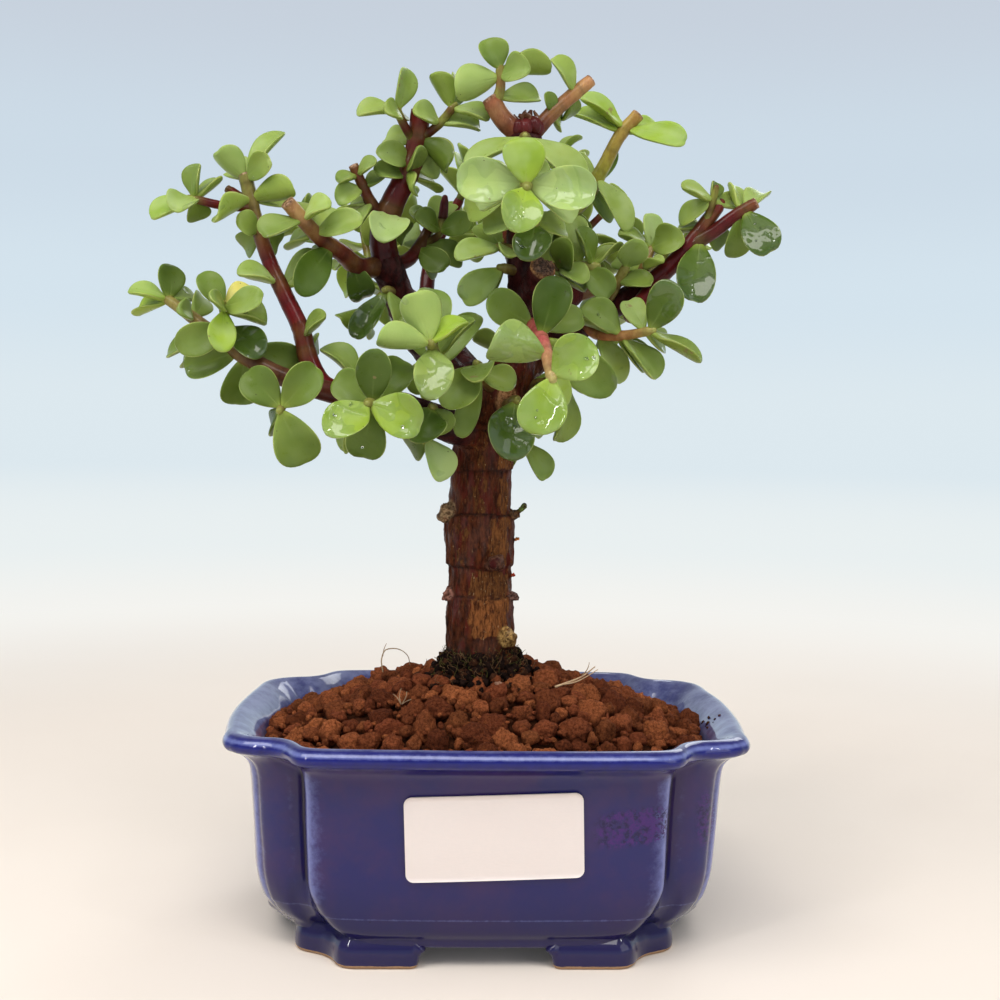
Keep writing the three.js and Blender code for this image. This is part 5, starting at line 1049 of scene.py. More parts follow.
def foot(sx, sy):
    """One L-shaped foot with rounded corners, eased at the bottom and flared into the underside."""
    f = FOOT
    w = f["width"]
    corners = np.array([
        (f["front_x"], f["front_y"]), (f["notch_x"] + 1, f["front_y"]),
        (f["notch_x"] + 4.2, f["notch_y"] + 6), (f["side_x"] + 0.4, f["notch_y"] + 1.4),
        (f["side_x"] + 0.4, f["back_y"]), (f["side_x"] - w, f["back_y"]),
        (f["side_x"] - w, f["notch_y"] - 5), (f["notch_x"] - 3, f["notch_y"] + 1),
        (f["notch_x"] - w, f["front_y"] - w), (f["front_x"], f["front_y"] - w)])
    radii = [2.4, 4.0, 4.2, 4.6, 2.4, 2.4, 3.0, 3.0, 3.0, 2.4]
    outline = rounded_outline(corners, radii, 9)[::-1]
    way = unit(np.roll(outline, -1, axis=0) - np.roll(outline, 1, axis=0))
    outward = np.column_stack([way[:, 1], -way[:, 0]])
    # The outer faces run on up into the wall; the inner ones flare out to the underside.
    outer = (np.clip(1.2 * outward.max(axis=1), 0, 1) * ease(-0.95, -0.35, outward.min(axis=1)))[:, None]
    rows = [(0.0, -1.3, 0), (0.05, -0.8, 0), (0.3, -0.4, 0), (0.8, -0.1, 0), (1.4, 0.0, 0.05),
            (2.4, 0.0, 0.3), (3.3, -0.03, 0.7), (4.0, -0.1, 1.3), (4.7, -0.25, 2.1),
            (5.4, -0.55, 2.3), (6.3, -1.1, 1.5), (7.4, -1.9, 0.4), (8.6, -2.9, 0.0)]
    rings = [np.column_stack([outline + outward * (out + flare * (1 - outer)), np.full(len(outline), z)])
             for z, out, flare in rows]
    points = np.vstack(rings) * (sx, sy, 1)
    first = np.arange(len(outline))
    faces = [ring_faces(len(rows), len(outline)), first[None, ::-1], first[None] + len(points) - len(outline)]
    return points, [group[:, ::-1] for group in faces] if sx * sy > 0 else faces


def rounded_outline(corners, radii, steps):
    """A polygon with each corner replaced by an arc-like bend."""
    rows = []
    for a, b, c, radius in zip(np.roll(corners, 1, axis=0), corners, np.roll(corners, -1, axis=0), radii):
        start, end = b + unit(a - b) * radius, b + unit(c - b) * radius
        for t in np.linspace(0, 1, steps):
            rows.append((1 - t) ** 2 * start + 2 * t * (1 - t) * b + t * t * end)
    return np.array(rows)


def cut_drain_holes(pot):
    """Cuts the two drain holes through the pot's floor."""
    heap = Heap()
    angles = 2 * np.pi * np.arange(40) / 40
    for x in (-DRAIN["x"], DRAIN["x"]):
        rings = [np.column_stack([x + DRAIN["radius"] * np.cos(angles), DRAIN["radius"] * np.sin(angles),
                                  np.full(40, z)]) for z in (2, 16)]
        heap.add(np.vstack([[(x, 0, 2)], *rings, [(x, 0, 16)]]), capped(2, 40))
    cutter = heap.build("drain_cutter", pot.data.materials[0])
    cut = pot.modifiers.new("drains", "BOOLEAN")
    cut.object, cut.operation, cut.solver = cutter, "DIFFERENCE", "EXACT"
    graph = bpy.context.evaluated_depsgraph_get()
    pot.data = bpy.data.meshes.new_from_object(pot.evaluated_get(graph))
    pot.modifiers.clear()
    bpy.data.objects.remove(cutter)


def build_drain_meshes(paint):
    """Woven plastic discs over the drain holes."""
    for name, x in (("drain_mesh_left", -DRAIN["x"]), ("drain_mesh_right", DRAIN["x"])):
        heap = Heap()
        for k in np.arange(-8, 9, 1.6):
            half = math.sqrt(DRAIN["mesh"] ** 2 - k * k)
            for turned in (0, 1):
                ends = np.array([(-half, k), (half, k)])[:, ::-1 if turned else 1]
                path = [(x + u, v, POT["floor_top"] + 0.6 + 0.15 * turned) for u, v in ends]
                heap.add(*tube(path, [0.28, 0.28], 6)[:2])
        angles = 2 * np.pi * np.arange(48) / 48
        rim = DRAIN["mesh"] - 0.4
        ring = [(x + rim * math.cos(a), rim * math.sin(a), POT["floor_top"] + 0.68) for a in angles]
        heap.add(*tube([*ring, ring[0]], [0.35] * 49, 8)[:2])
        heap.build(name + "_net", paint, slot="mesh", stands_for=[name])


def build_label(paint):
    """The blank card, bent to the bow of the front panel."""
    size, corner = (LABEL["width"], LABEL["height"]), LABEL["corner"]
    tilt = math.radians(LABEL["tilt"])
    sides, heights = 48, 18
    s = np.sin(np.linspace(-1, 1, sides) * np.pi / 2) * size[0] / 2
    into = np.maximum(0, np.abs(s) - (size[0] / 2 - corner))
    half = size[1] / 2 - corner + np.sqrt(np.maximum(corner**2 - into**2, 0))
    h = np.linspace(-1, 1, heights)[None, :] * half[:, None]
    s = np.broadcast_to(s[:, None], h.shape)
    x = LABEL["x"] + s * math.cos(tilt) - h * math.sin(tilt)
    z = LABEL["z"] + s * math.sin(tilt) + h * math.cos(tilt)
    outer = POT_WALL[6:21]
    face = POT["depth"] / 2 - inset_at(outer, z) - POT["bulge"] * (x / POT["panel"]) ** 2
    layers = [-(face + LABEL["gap"] + out) for out in (0.0, LABEL["thick"])]
    points = np.vstack([np.column_stack([x.ravel(), y.ravel(), z.ravel()]) for y in layers])
    quads = ring_faces(sides, heights, closed=False)
    back = quads + sides * heights
    rim = np.concatenate([np.arange(sides) * heights,
                          (sides - 1) * heights + np.arange(1, heights),
                          np.arange(sides - 2, -1, -1) * heights + heights - 1,
                          np.arange(heights - 2, 0, -1)])
    k = np.roll(rim, -1)
    edge = np.stack([rim, rim + sides * heights, k + sides * heights, k], -1)
    mesh_object("label_card", points, [*quads.tolist(), *back[:, ::-1].tolist(), *edge.tolist()], paint,
                slot="label", stands_for=["label"])


# ---- Soil -----------------------------------------------------------------------------------

def mound_height(x, y):
    """Height of the soil's mound at a place inside the pot."""
    inset = inset_at(CAVITY_WALL, SOIL["edge"])
    s = np.hypot(x / (POT["length"] / 2 - inset), y / (POT["depth"] / 2 - inset))
    return SOIL["edge"] + (SOIL["crown"] - SOIL["edge"]) * (1 - np.minimum(s, 1) ** 1.5)


def wall_distance(x, y, outline):
    """How far places lie inside an outline of the pot, negative outside it."""
    a, b = outline, np.roll(outline, -1, axis=0)
    way = unit(b - a)
    inward = np.column_stack([-way[:, 1], way[:, 0]])
    offset = np.column_stack([x, y])[:, None, :] - a[None]
    t = np.clip((offset * way).sum(-1), 0, np.linalg.norm(b - a, axis=1))
    apart = np.linalg.norm(offset - t[..., None] * way, axis=-1)
    nearest = apart.argmin(axis=1)
    rows = np.arange(len(nearest))
    sign = np.sign((offset[rows, nearest] * inward[nearest]).sum(-1))
    return sign * apart[rows, nearest]


def crumb(sphere, radius, rng, sharp=24.0, rough=0.115):
    """One lump with flattish facets, worn edges and a pitted skin, about its own centre."""
    facets = unit(rng.normal(size=(12, 3)))
    offsets = rng.uniform(0.62, 1.0, 12)
    lean = np.maximum(sphere @ facets.T, 0) / offsets
    reach = ((lean**sharp).sum(axis=1) + 0.12) ** (-1 / sharp)
    spot = rng.uniform(0, 99, 3)
    pits = (noise(sphere * 2.1 + spot) + 0.8 * noise(sphere * 4.6 + spot)
            - 0.8 * np.abs(noise(sphere * 3.3 - spot)))
    pits += 0.55 * noise(sphere * 8.5 + spot)
    stretch = rng.uniform(0.78, 1.2, 3)
    return sphere * (reach * (1 + rough * pits))[:, None] * stretch * radius


def scatter(radii, rng, outline, spacing, taken=np.empty((0, 3))):
    """Places of crumbs on the mound, the largest first, none in another: rows of x, y, radius."""
    spots = taken
    for radius in np.sort(radii)[::-1]:
        tries = rng.uniform((-60, -46), (60, 46), (24, 2))
        free = np.hypot((tries[:, 0] + 1.6) / 10.5, (tries[:, 1] + 1.5) / 12) > 1
        free &= wall_distance(tries[:, 0], tries[:, 1], outline) > 0.85 * radius
        apart = np.hypot(spots[:, :1] - tries[:, 0], spots[:, 1:2] - tries[:, 1])
        free &= (apart > spacing * (spots[:, 2:] + radius)).all(axis=0)
        if free.any():
            spots = np.vstack([spots, (*tries[free.argmax()], radius)])
    return spots[len(taken):]


BED_DEPTH = 2.4
SOIL_FRONT = -8
CLAY_RED = np.array([0.160, 0.043, 0.018])
CLAY_WARM = np.array([0.29, 0.093, 0.034])


def build_soil(paint, bed_paint, humus_paint):
    rng = np.random.default_rng(SEED)
    outline = pot_outline(inset_at(CAVITY_WALL, SOIL["edge"]) + 0.6, lip=1.0, per_span=2)[:, :2]
    spheres = [sphere_points(level) for level in (1, 2, 3)]
    # The bed under the crumbs: a rough mound that closes the pot, painted dark brown as shade between the
    # crumbs.
    rings = []
    for share in np.linspace(1, 0.02, 46):
        x, y = (outline * share).T
        height = mound_height(x, y) - BED_DEPTH
        lumps = layered_noise(np.column_stack([x / 2.6, y / 2.6, 0 * x]), 3)
        rings.append(np.column_stack([x, y, height + 0.9 * lumps * min(1, 6 * (1 - share))]))
    floor = POT["floor_top"] + 1.6
    low = [np.column_stack([outline * 0.9, np.full(len(outline), floor)]),
           np.column_stack([outline * 0.97, np.full(len(outline), 30.0)])]
    points = np.vstack([[(0, 0, floor)], *low, *rings, [(0, 0, SOIL["crown"] - BED_DEPTH)]])
    faces = [face for group in capped(len(rings) + 2, len(outline)) for face in group.tolist()]
    mesh_object("soil_bed_in_painted_shade", points, faces, bed_paint, slot="soil", stands_for=["soil"])
    large = scatter(2.3 + 2.0 * rng.uniform(0, 1, 700) ** 1.5, rng, outline, 0.80)
    medium = scatter(rng.uniform(1.2, 2.2, 900), rng, outline, 0.80, large)
    small = scatter(rng.uniform(0.6, 1.2, 1200), rng, outline, 0.80, np.vstack([large, medium]))
    heaps = {"front": Heap(), "back": Heap(), "small": Heap()}
    for spots, sink in ((large, 0.0), (medium, 0.5), (small, 1.1)):
        for x, y, radius in spots:
            fine = 2.9 if y < SOIL_FRONT else 4.0
            sphere, faces = spheres[0 if radius < 1.15 else 1 if radius < fine else 2]
            lump = crumb(sphere, radius, rng)
            height = (mound_height(x, y) + 2.5 - 0.95 * radius - sink
                      + rng.uniform(-1.0, 0.9) * min(radius, 2.6) / 2.6)
            tone = rng.uniform(0.65, 1.4)
            warm = rng.uniform(0, 1) ** 1.6
            tint = tone * (CLAY_RED * (1 - warm) + CLAY_WARM * warm)
            key = "small" if radius < 2.2 else "front" if y < SOIL_FRONT else "back"
            heaps[key].add(lump + (x, y, height), [faces], tint=tint)
    for key, heap in heaps.items():
        heap.build(f"clay_grit_{key}", paint, slot="soil", stands_for=["soil"])
    build_humus(humus_paint, rng, spheres)


HUMUS_DARK = np.array([0.016, 0.008, 0.006])
HUMUS_BROWN = np.array([0.060, 0.024, 0.012])
HUMUS_RING = 7.6
TRUNK_FOOT_X = -1.6


def humus_pile(out):
    """Share of the humus pile's full height at a distance from the trunk's middle."""
    return math.exp(-((out - HUMUS_RING) / 4.4) ** 2)


def humus_angle(rng, front_share):
    """A direction from the trunk, more often to the front, and whether it is such a one."""
    front = rng.random() < front_share
    return front, rng.uniform(1.08, 1.92) * np.pi if front else rng.uniform(0, 2 * np.pi)


def build_humus(paint, rng, spheres):
    """Dark humus, moss threads and chips packed round the foot of the trunk."""
    heap = Heap()
    for _ in range(520):
        # The pile is widest in front of the trunk.
        front, angle = humus_angle(rng, 0.6)
        out = HUMUS_RING + abs(rng.normal(0, 4.2 if front else 2.4))
        x, y = TRUNK_FOOT_X + 1.05 * out * math.cos(angle), 0.92 * out * math.sin(angle)
        radius = rng.uniform(0.4, 1.5)
        rise = 5.4 * humus_pile(out)
        height = mound_height(x, y) + 0.6 + rise * rng.uniform(0.1, 1.0)
        shade = rng.uniform(0.4, 1.4)
        tint = shade * HUMUS_DARK if rng.random() < 0.8 else HUMUS_BROWN
        sphere, faces = spheres[0 if radius < 1.3 else 1]
        heap.add(crumb(sphere, radius, rng, rough=0.2) + (x, y, height), [faces], tint=tint)
    for _ in range(430):
        front, angle = humus_angle(rng, 0.65)
        out = 7.8 + abs(rng.normal(0, 3.6 if front else 2.4))
        foot_point = np.array([TRUNK_FOOT_X + out * math.cos(angle), 0.92 * out * math.sin(angle), 0])
        foot_point[2] = mound_height(*foot_point[:2]) + 0.8 + 4.6 * humus_pile(out)
        bend = rng.normal(0, 1.0, 3)
        tip = foot_point + (rng.normal(0, 1.3), rng.normal(0, 1.3), rng.uniform(0.4, 2.8))
        path, radii = smooth_path([foot_point, (foot_point + tip) / 2 + bend * 0.5, tip],
                                  [0.12, 0.09, 0.04], 0.7)
        tint = (0.12, 0.12, 0.035) if rng.random() < 0.4 else (0.17, 0.105, 0.055)
        points, faces, _ = tube(path, radii, 4)
        heap.add(points, faces, tint=np.array(tint) * rng.uniform(0.4, 1.4))
    sphere, faces = spheres[1]
    chip = crumb(sphere, 2.0, rng) * (0.8, 0.5, 1.5) + place((3.8, 61.6, -17))
    heap.add(chip, [faces], tint=(0.34, 0.19, 0.13))
    heap.build("humus_and_moss", paint, slot="soil", stands_for=["soil"])


def build_litter(root_paint, crumb_material):
    """The root loop behind the mound, bits of straw on it, and crumbs on the right of the lip."""
    rng = np.random.default_rng(SEED + 5)
    heap = Heap()
    strands = [
        ([(-28.5, 66.4, 3), (-28.9, 70, 3), (-27.8, 72.6, 3), (-26.2, 73, 3),
          (-23.6, 72.6, 4), (-21.8, 71.2, 4), (-21, 68.4, 5)], 0.22),
        ([(-28.6, 70.8, 3), (-28.2, 73, 3), (-27.6, 74.4, 3)], 0.16),
        ([(-23.4, 57.4, -26), (-24.6, 59.4, -26.5), (-25.6, 60.2, -27)], 0.2),
        ([(-23.4, 57.4, -26), (-23.9, 60, -26), (-23.4, 61.8, -25.5)], 0.18),
        ([(-23.2, 57.4, -26), (-22, 59.6, -27), (-21.8, 61, -27)], 0.16),
        ([(-23.2, 57.4, -26), (-21.6, 58.4, -28), (-20.6, 58.8, -29)], 0.16),
        ([(19.4, 62.6, -12), (22.6, 63.8, -12), (26.8, 65.6, -12), (30.4, 68.4, -12)], 0.34),
        ([(21, 63.2, -12), (25.4, 64.2, -13), (28.4, 65.8, -13), (31.2, 67.6, -13)], 0.24),
        ([(26.6, 65.4, -12), (28.6, 68.4, -12), (28.8, 69.6, -12)], 0.18),
    ]
    for spots, radius in strands:
        points = [place(spot) for spot in spots]
        path, _ = smooth_path(points, [radius] * len(points), 0.8)
        radii = radius * np.linspace(1.0, 0.45, len(path))
        tint = np.array([0.52, 0.37, 0.22]) * rng.uniform(0.7, 1.1)
        points, faces, _ = tube(path, radii, 8)
        heap.add(points, faces, tint=tint)
    heap.build("rootlets_and_straw", root_paint, slot="soil", stands_for=["soil"])
    crumbs = Heap()
    sphere, faces = sphere_points(2)
    for _ in range(90):
        t = rng.uniform(0, 1)
        x = 61.6 - 6 * t + rng.normal(0, 1.4)
        y = -8 + 28 * t + rng.normal(0, 1.6)
        radius = rng.uniform(0.2, 0.85) * (0.5 + 0.5 * rng.random())
        outline = pot_outline(0, per_span=1)[:, :2]
        inset = wall_distance(np.array([x]), np.array([y]), outline)[0]
        if not 5.0 < inset < 9.2:
            continue
        height = np.interp(inset, [3.4, 5.0, 6.7, 8.4, 9.7], [57.1, 56.4, 55.2, 53.4, 51.4])
        crumbs.add(crumb(sphere, radius, rng) + (x, y, height + 0.5 * radius), [faces],
                   tint=np.array([0.06, 0.024, 0.014]) * rng.uniform(0.5, 1.6))
    crumbs.build("crumbs_on_the_lip", crumb_material, slot="soil", stands_for=["soil"])


# ---- Wood -----------------------------------------------------------------------------------

# Heights of the scars that ring the trunk, and how far each section between them stands out.
TRUNK_RINGS = [88.5, 96.6, 110.9, 122.5, 134.0]
TRUNK_SWELL = [0.1, -0.25, 0.5, -0.35, -0.1, 0.1]


def remeshed(heap, voxel, rounds):
    """One skin round the overlapping lumps of a heap: points, faces and normals."""
    mesh = bpy.data.meshes.new("scratch")
    mesh.from_pydata(np.concatenate(heap.points).tolist(), [], heap.faces)
    scratch = bpy.data.objects.new("scratch", mesh)
    bpy.context.scene.collection.objects.link(scratch)
    skin = scratch.modifiers.new("skin", "REMESH")
    skin.mode, skin.voxel_size = "VOXEL", voxel
    soft = scratch.modifiers.new("soft", "SMOOTH")
    soft.factor, soft.iterations = 0.5, rounds
    result = bpy.data.meshes.new_from_object(scratch.evaluated_get(bpy.context.evaluated_depsgraph_get()))
    points = np.empty(3 * len(result.vertices))
    result.vertices.foreach_get("co", points)
    normals = np.empty(3 * len(result.vertices))
    result.vertex_normals.foreach_get("vector", normals)
    faces = [list(face.vertices) for face in result.polygons]
    bpy.data.objects.remove(scratch)
    bpy.data.meshes.remove(result)
    return points.reshape(-1, 3), faces, normals.reshape(-1, 3)


# The trunk's middle line: heights and the x at each.
TRUNK_AXIS_Z = [60, 98, 118, 130, 141, 151]
TRUNK_AXIS_X = [-1.5, -2, -2.2, -1.2, 1.8, 5.8]


def build_wood(paint):
    """Trunk, leader and main limbs as one skin, with rings, plates and knobs."""
    heap = Heap()
    rng = np.random.default_rng(SEED + 2)
    for name, rows in LIMBS:
        path, radii = smooth_path([place(row[1:]) for row in rows], [row[0] for row in rows], 1.2)
        if name == "trunk":
            path, radii = path[:-2], radii[:-2]
        heap.add(*tube(path, radii, 28, flat_end=name in ("stub", "trunk"))[:2])
    sphere, faces = sphere_points(3)
    knob_ends = []
    for radius, root, end, colour in KNOBS:
        a, b = place(root), place(end)
        for t in (0.35, 0.7, 0.95):
            heap.add(a + (b - a) * t + crumb(sphere, radius * (1.08 - 0.1 * t), rng, 13, 0.14), [faces])
        knob_ends.append((a + (b - a) * 0.8, radius, colour))
    points, faces, normals = remeshed(heap, 0.47, 4)
    x, y, z = points.T
    axis = np.column_stack([np.interp(z, TRUNK_AXIS_Z, TRUNK_AXIS_X), 0 * z])
    off = np.hypot(x - axis[:, 0], y)
    old = (1 - ease(150, 160, z)) * (1 - ease(10.5, 13, off))
    # Ring scars, each with its own wander round the trunk, between sections of their own width.
    angle = np.arctan2(y, x - axis[:, 0])
    around = np.column_stack([np.cos(angle) * 1.4, np.sin(angle) * 1.4, z / 30])
    wander = z + 0.7 * noise(around) + 0.25 * noise(around * 3.5)
    nearest_ring = np.abs(wander[:, None] - TRUNK_RINGS).min(axis=1)
    ring = np.exp(-((nearest_ring / 0.24) ** 2))
    stops = [TRUNK_RINGS[0] - 30, *(height + side for height in TRUNK_RINGS for side in (-0.4, 0.4)), 170]
    swell = np.interp(wander, stops, np.repeat(TRUNK_SWELL, 2))
    swell += 0.45 * ease(99, 107, z) * (1 - ease(110, 111.4, z)) * ease(-2, -8, x)
    fibre = layered_noise(points / (0.75, 0.75, 4.5), 3)
    strips = ease(0.0, 0.09, noise(points / (2.0, 2.0, 9) + 30)) - 0.5
    lumps = noise(points / (3.0, 3.0, 4.0) + 60)
    lift = old * (swell + 0.26 * strips + 0.26 * lumps + 0.20 * fibre - 0.34 * ring)
    lift += 0.05 * layered_noise(points / (0.9, 0.9, 1.9), 3)
    crack = np.exp(-((noise(points / (2.0, 2.0, 9) + 30) - 0.02) / 0.025) ** 2) * old
    # Worn patches: placed in front, and by chance behind.
    facing = ease(0.5, -0.5, y / 9)
    ochre, gold = 0.12 + 0.35 * (1 - facing) * ease(0.0, 0.5, noise(points / (7, 7, 12))), 0.3 * (1 - facing)
    ragged_x = x + 0.8 * noise(points / (1.2, 1.2, 3)) + 1.3 * noise(points / (3, 3, 5) + 70)
    ragged_z = (z + 1.1 * noise(points / 1.8 + 9)
                + 1.6 * noise(points / 4.0 + 80) * ease(0.6, 2.2, nearest_ring))
    for x_from, x_to, z_from, z_to, share, shine in WORN_PATCHES:
        patch = ease(x_from - 0.4, x_from + 0.4, ragged_x) * (1 - ease(x_to - 0.4, x_to + 0.4, ragged_x))
        patch *= (ease(z_from - 0.4, z_from + 0.4, ragged_z)
                  * (1 - ease(z_to - 0.4, z_to + 0.4, ragged_z)) * facing)
        ochre, gold = np.maximum(ochre, share * patch), np.maximum(gold, shine * patch)
    # Nodes of the smooth limbs.
    young = 1 - old
    node_rings = np.exp(-((np.mod(z + 0.3 * x, 8.5) - 4.2) / 0.5) ** 2)
    lift += young * (0.18 * node_rings + 0.16 * noise(points / 2.6) + 0.07 * noise(points / 1.1))
    stub_end, stub_way = place((14.2, 178.6, -14)), unit(place((14.2, 178.6, -14)) - place((11.5, 173, -8)))
    beyond = (points - stub_end) @ stub_way
    near_stub = np.linalg.norm(points - stub_end, axis=1) < 4.4
    cut = near_stub * ease(-0.75, -0.2, beyond)
    lift += cut * (0.75 * layered_noise(points / 1.0, 3) - 0.3)
    stub_axis = np.linalg.norm(points - stub_end - beyond[:, None] * stub_way, axis=1)
    callus, knob = np.zeros(len(z)), np.tile((0.28, 0.14, 0.06), (len(z), 1))
    for end, radius, colour in knob_ends:
        near = 1 - ease(radius * 1.0, radius * 1.5, np.linalg.norm(points - end, axis=1))
        knob = np.where(near[:, None] > 0, colour, knob)
        callus = np.maximum(callus, near * ease(-0.9, -0.1, noise(points / 0.9)))
    lift += 0.35 * callus * layered_noise(points / 0.9, 2)
    callus = np.maximum(callus, near_stub * ease(2.3, 3.0, stub_axis)
                        * np.exp(-(((beyond + 0.5) / 0.5) ** 2)))
    scar = np.linalg.norm((points - place((5, 142, -8))) / (3.6, 5, 4.2), axis=1)
    callus = np.maximum(callus, 0.9 * (1 - ease(0.75, 1.05, scar)))
    lift += 0.3 * (1 - ease(0.6, 1.1, scar))
    values = dict(young=young, ochre=ochre, gold=gold, cut=cut, callus=callus, knob=knob,
                  crack=np.clip(0.6 * crack + 0.85 * ring * old, 0, 1),
                  damp=1 - ease(71, 78, z + 1.6 * noise(points / 3)))
    mesh_object("trunk_bark", points + normals * lift[:, None], faces, paint, values,
                slot="bark", stands_for=["trunk"])


def build_leader_tip(paint, rng):
    """The fleshy knob at the top of the leader, with a crown of dry scales."""
    heap = Heap()
    crown = place((8.9, 216.0, -6))
    sphere, faces = sphere_points(3)
    for k in range(8):
        turn = 2 * np.pi * k / 8 + rng.uniform(-0.2, 0.2)
        spot = crown + (2.9 * math.cos(turn), 2.9 * math.sin(turn), rng.uniform(-0.8, 0.5))
        lump = sphere * (1.9, 1.9, 2.4) * (1 + 0.06 * noise(sphere * 2 + k))[:, None]
        heap.add(lump + spot, [faces], tint=np.array([0.105, 0.014, 0.014]) * rng.uniform(0.7, 1.2),
                 cut=np.zeros(len(sphere)))
    for k in range(13):
        turn, layer = 2.4 * k, k / 13
        out = 3.0 - 2.6 * layer
        way = unit(np.array([math.cos(turn), math.sin(turn), 0]) * rng.uniform(-0.2, 1.1) * (1.2 - layer)
                   + (0, 0, 1))
        root = crown + (out * math.cos(turn), out * math.sin(turn), 0.9 + 0.5 * layer)
        length = rng.uniform(1.2, 2.9)
        path, _ = smooth_path([root, root + way * length * 0.5 + rng.normal(0, 0.25, 3),
                               root + way * length + rng.normal(0, 0.45, 3)], [1, 1, 1], 0.3)
        share = np.linspace(0, 1, len(path))
        radii = rng.uniform(0.6, 1.0) * (1 - 0.75 * share**2) + 0.12
        dry = rng.uniform(0, 1)
        tint = np.array([0.060, 0.016, 0.012]) * (1 - dry) + np.array([0.20, 0.085, 0.040]) * dry
        points, faces_of, along = tube(path, radii, 8)
        flat = np.array([-math.sin(turn), math.cos(turn), 0])
        middle = np.interp(along, share, path[:, 0]), np.interp(along, share, path[:, 1])
        sideways = (points[:, 0] - middle[0]) * flat[0] + (points[:, 1] - middle[1]) * flat[1]
        points[:, :2] += 0.4 * sideways[:, None] * flat[:2]
        points += 0.14 * noise(points / 0.7)[:, None]
        heap.add(points, faces_of, tint=tint * (1.0 - 0.45 * along[:, None]), cut=0 * along)
    heap.build("leader_scales", paint, slot="bark", stands_for=["trunk"])


# ---- Leaves: where they grow, by the part's own rules ---------------------------------------

def seeded_random(seed):
    """The part's own seeded numbers from 0 to 1."""
    state = seed

    def imul(a, b):
        return (a * b) & 0xFFFFFFFF

    def draw():
        nonlocal state
        state = (state + 0x6D2B79F5) & 0xFFFFFFFF
        t = imul(state ^ (state >> 15), state | 1)
        t ^= (t + imul(t ^ (t >> 7), t | 61)) & 0xFFFFFFFF
        return ((t ^ (t >> 14)) & 0xFFFFFFFF) / 4294967296

    return draw


def leaf_outline(t):
    """Half-width of a leaf at t from root to tip, as a share of its widest."""
    return t**0.9 * (1 - t) ** 0.45 / 0.4235


def leaf_rise(leaf, t, share):
    return 0.16 * leaf["width"] * share**2 - 0.1 * leaf["length"] * t * t


def leaf_points(leaf, t, s, h=0.0):
    """Points of a leaf: t along it, s across it from -1 to 1, h off it."""
    across = np.cross(leaf["normal"], leaf["along"])
    share = s * leaf_outline(t)
    column = np.asarray(leaf_rise(leaf, t, share) + h)[..., None]
    return (leaf["root"] + np.asarray(leaf["length"] * t)[..., None] * leaf["along"]
            + np.asarray(leaf["width"] / 2 * share)[..., None] * across + column * leaf["normal"])


def leaf_towards(spray, root, tip, turn, width):
    """Leaf from its root and tip; turn rolls its face from the eye up to the sky."""
    along = tip - root
    length = np.linalg.norm(along)
    along = along / length
    face = unit(EYE - root)
    face = unit(face - face.dot(along) * along)
    up = np.cross(along, face)
    if (up[2] if abs(along[0]) > 0.35 else up[0]) < 0:
        up = -up
    angle = math.radians(turn)
    normal = face * math.cos(angle) + up * math.sin(angle)
    return dict(spray=spray, root=root, along=along, normal=normal, length=length, width=width)


def paired_leaves(spray, shoot, random):
    """Leaves of a shoot of the crown's back: opposite pairs, each crossing the last."""
    root_place, tip_place, pairs, length, turn = shoot
    root, tip = place(root_place), place(tip_place)
    along = unit(tip - root)
    first = np.array([1.0, 0, 0]) if abs(along[0]) < 0.8 else np.array([0, 1.0, 0])
    first = unit(first - first.dot(along) * along)
    second = np.cross(along, first)
    leaves = []
    for pair in range(pairs):
        last = pair == pairs - 1
        at = root + (tip - root) * (1 if pairs == 1 else 0.25 + 0.75 * pair / (pairs - 1))
        for side in (0, 180):
            around = math.radians(turn + 90 * pair + side + 24 * (random() - 0.5))
            lift = math.radians((42 if last else 22) + 24 * (random() - 0.5))
            size = length * (0.86 if last else 1) * (0.9 + 0.2 * random())
            out = first * math.cos(around) + second * math.sin(around)
            leaves.append(dict(
                spray=spray, root=at, along=out * math.cos(lift) + along * math.sin(lift),
                normal=along * math.cos(lift) - out * math.sin(lift), length=size,
                width=size * (0.7 + 0.08 * random())))
    return leaves


SAMPLE_T = np.array([0.35] * 4 + [0.55] * 4 + [0.75] * 4 + [0.92] * 4 + [1.0])
SAMPLE_S = np.array([-0.95, -0.4, 0.4, 0.95] * 4 + [0.0])


def samples_in_blades(points, leaves, clearance):
    """How many of each leaf's points lie in each leaf's blade, thickened by the clearance."""
    offset = points - leaves["root"][:, None]
    t = (offset * leaves["along"][:, None]).sum(-1) / leaves["length"][:, None]
    share = (offset * leaves["across"][:, None]).sum(-1) / (leaves["width"][:, None] / 2)
    edge = leaf_outline(np.clip(t, 0, 0.96)) + 0.12
    rise = 0.16 * leaves["width"][:, None] * share**2 - 0.1 * leaves["length"][:, None] * t * t
    height = (offset * leaves["normal"][:, None]).sum(-1) - rise
    inside = (t >= 0.12) & (t <= 1.04) & (np.abs(share) <= edge) & (np.abs(height) < clearance)
    return inside.sum(axis=1)


def stacked(leaves):
    """Leaves as arrays."""
    made = {key: np.array([leaf[key] for leaf in leaves])
            for key in ("root", "along", "normal", "length", "width")}
    made["across"] = np.cross(made["normal"], made["along"])
    return made


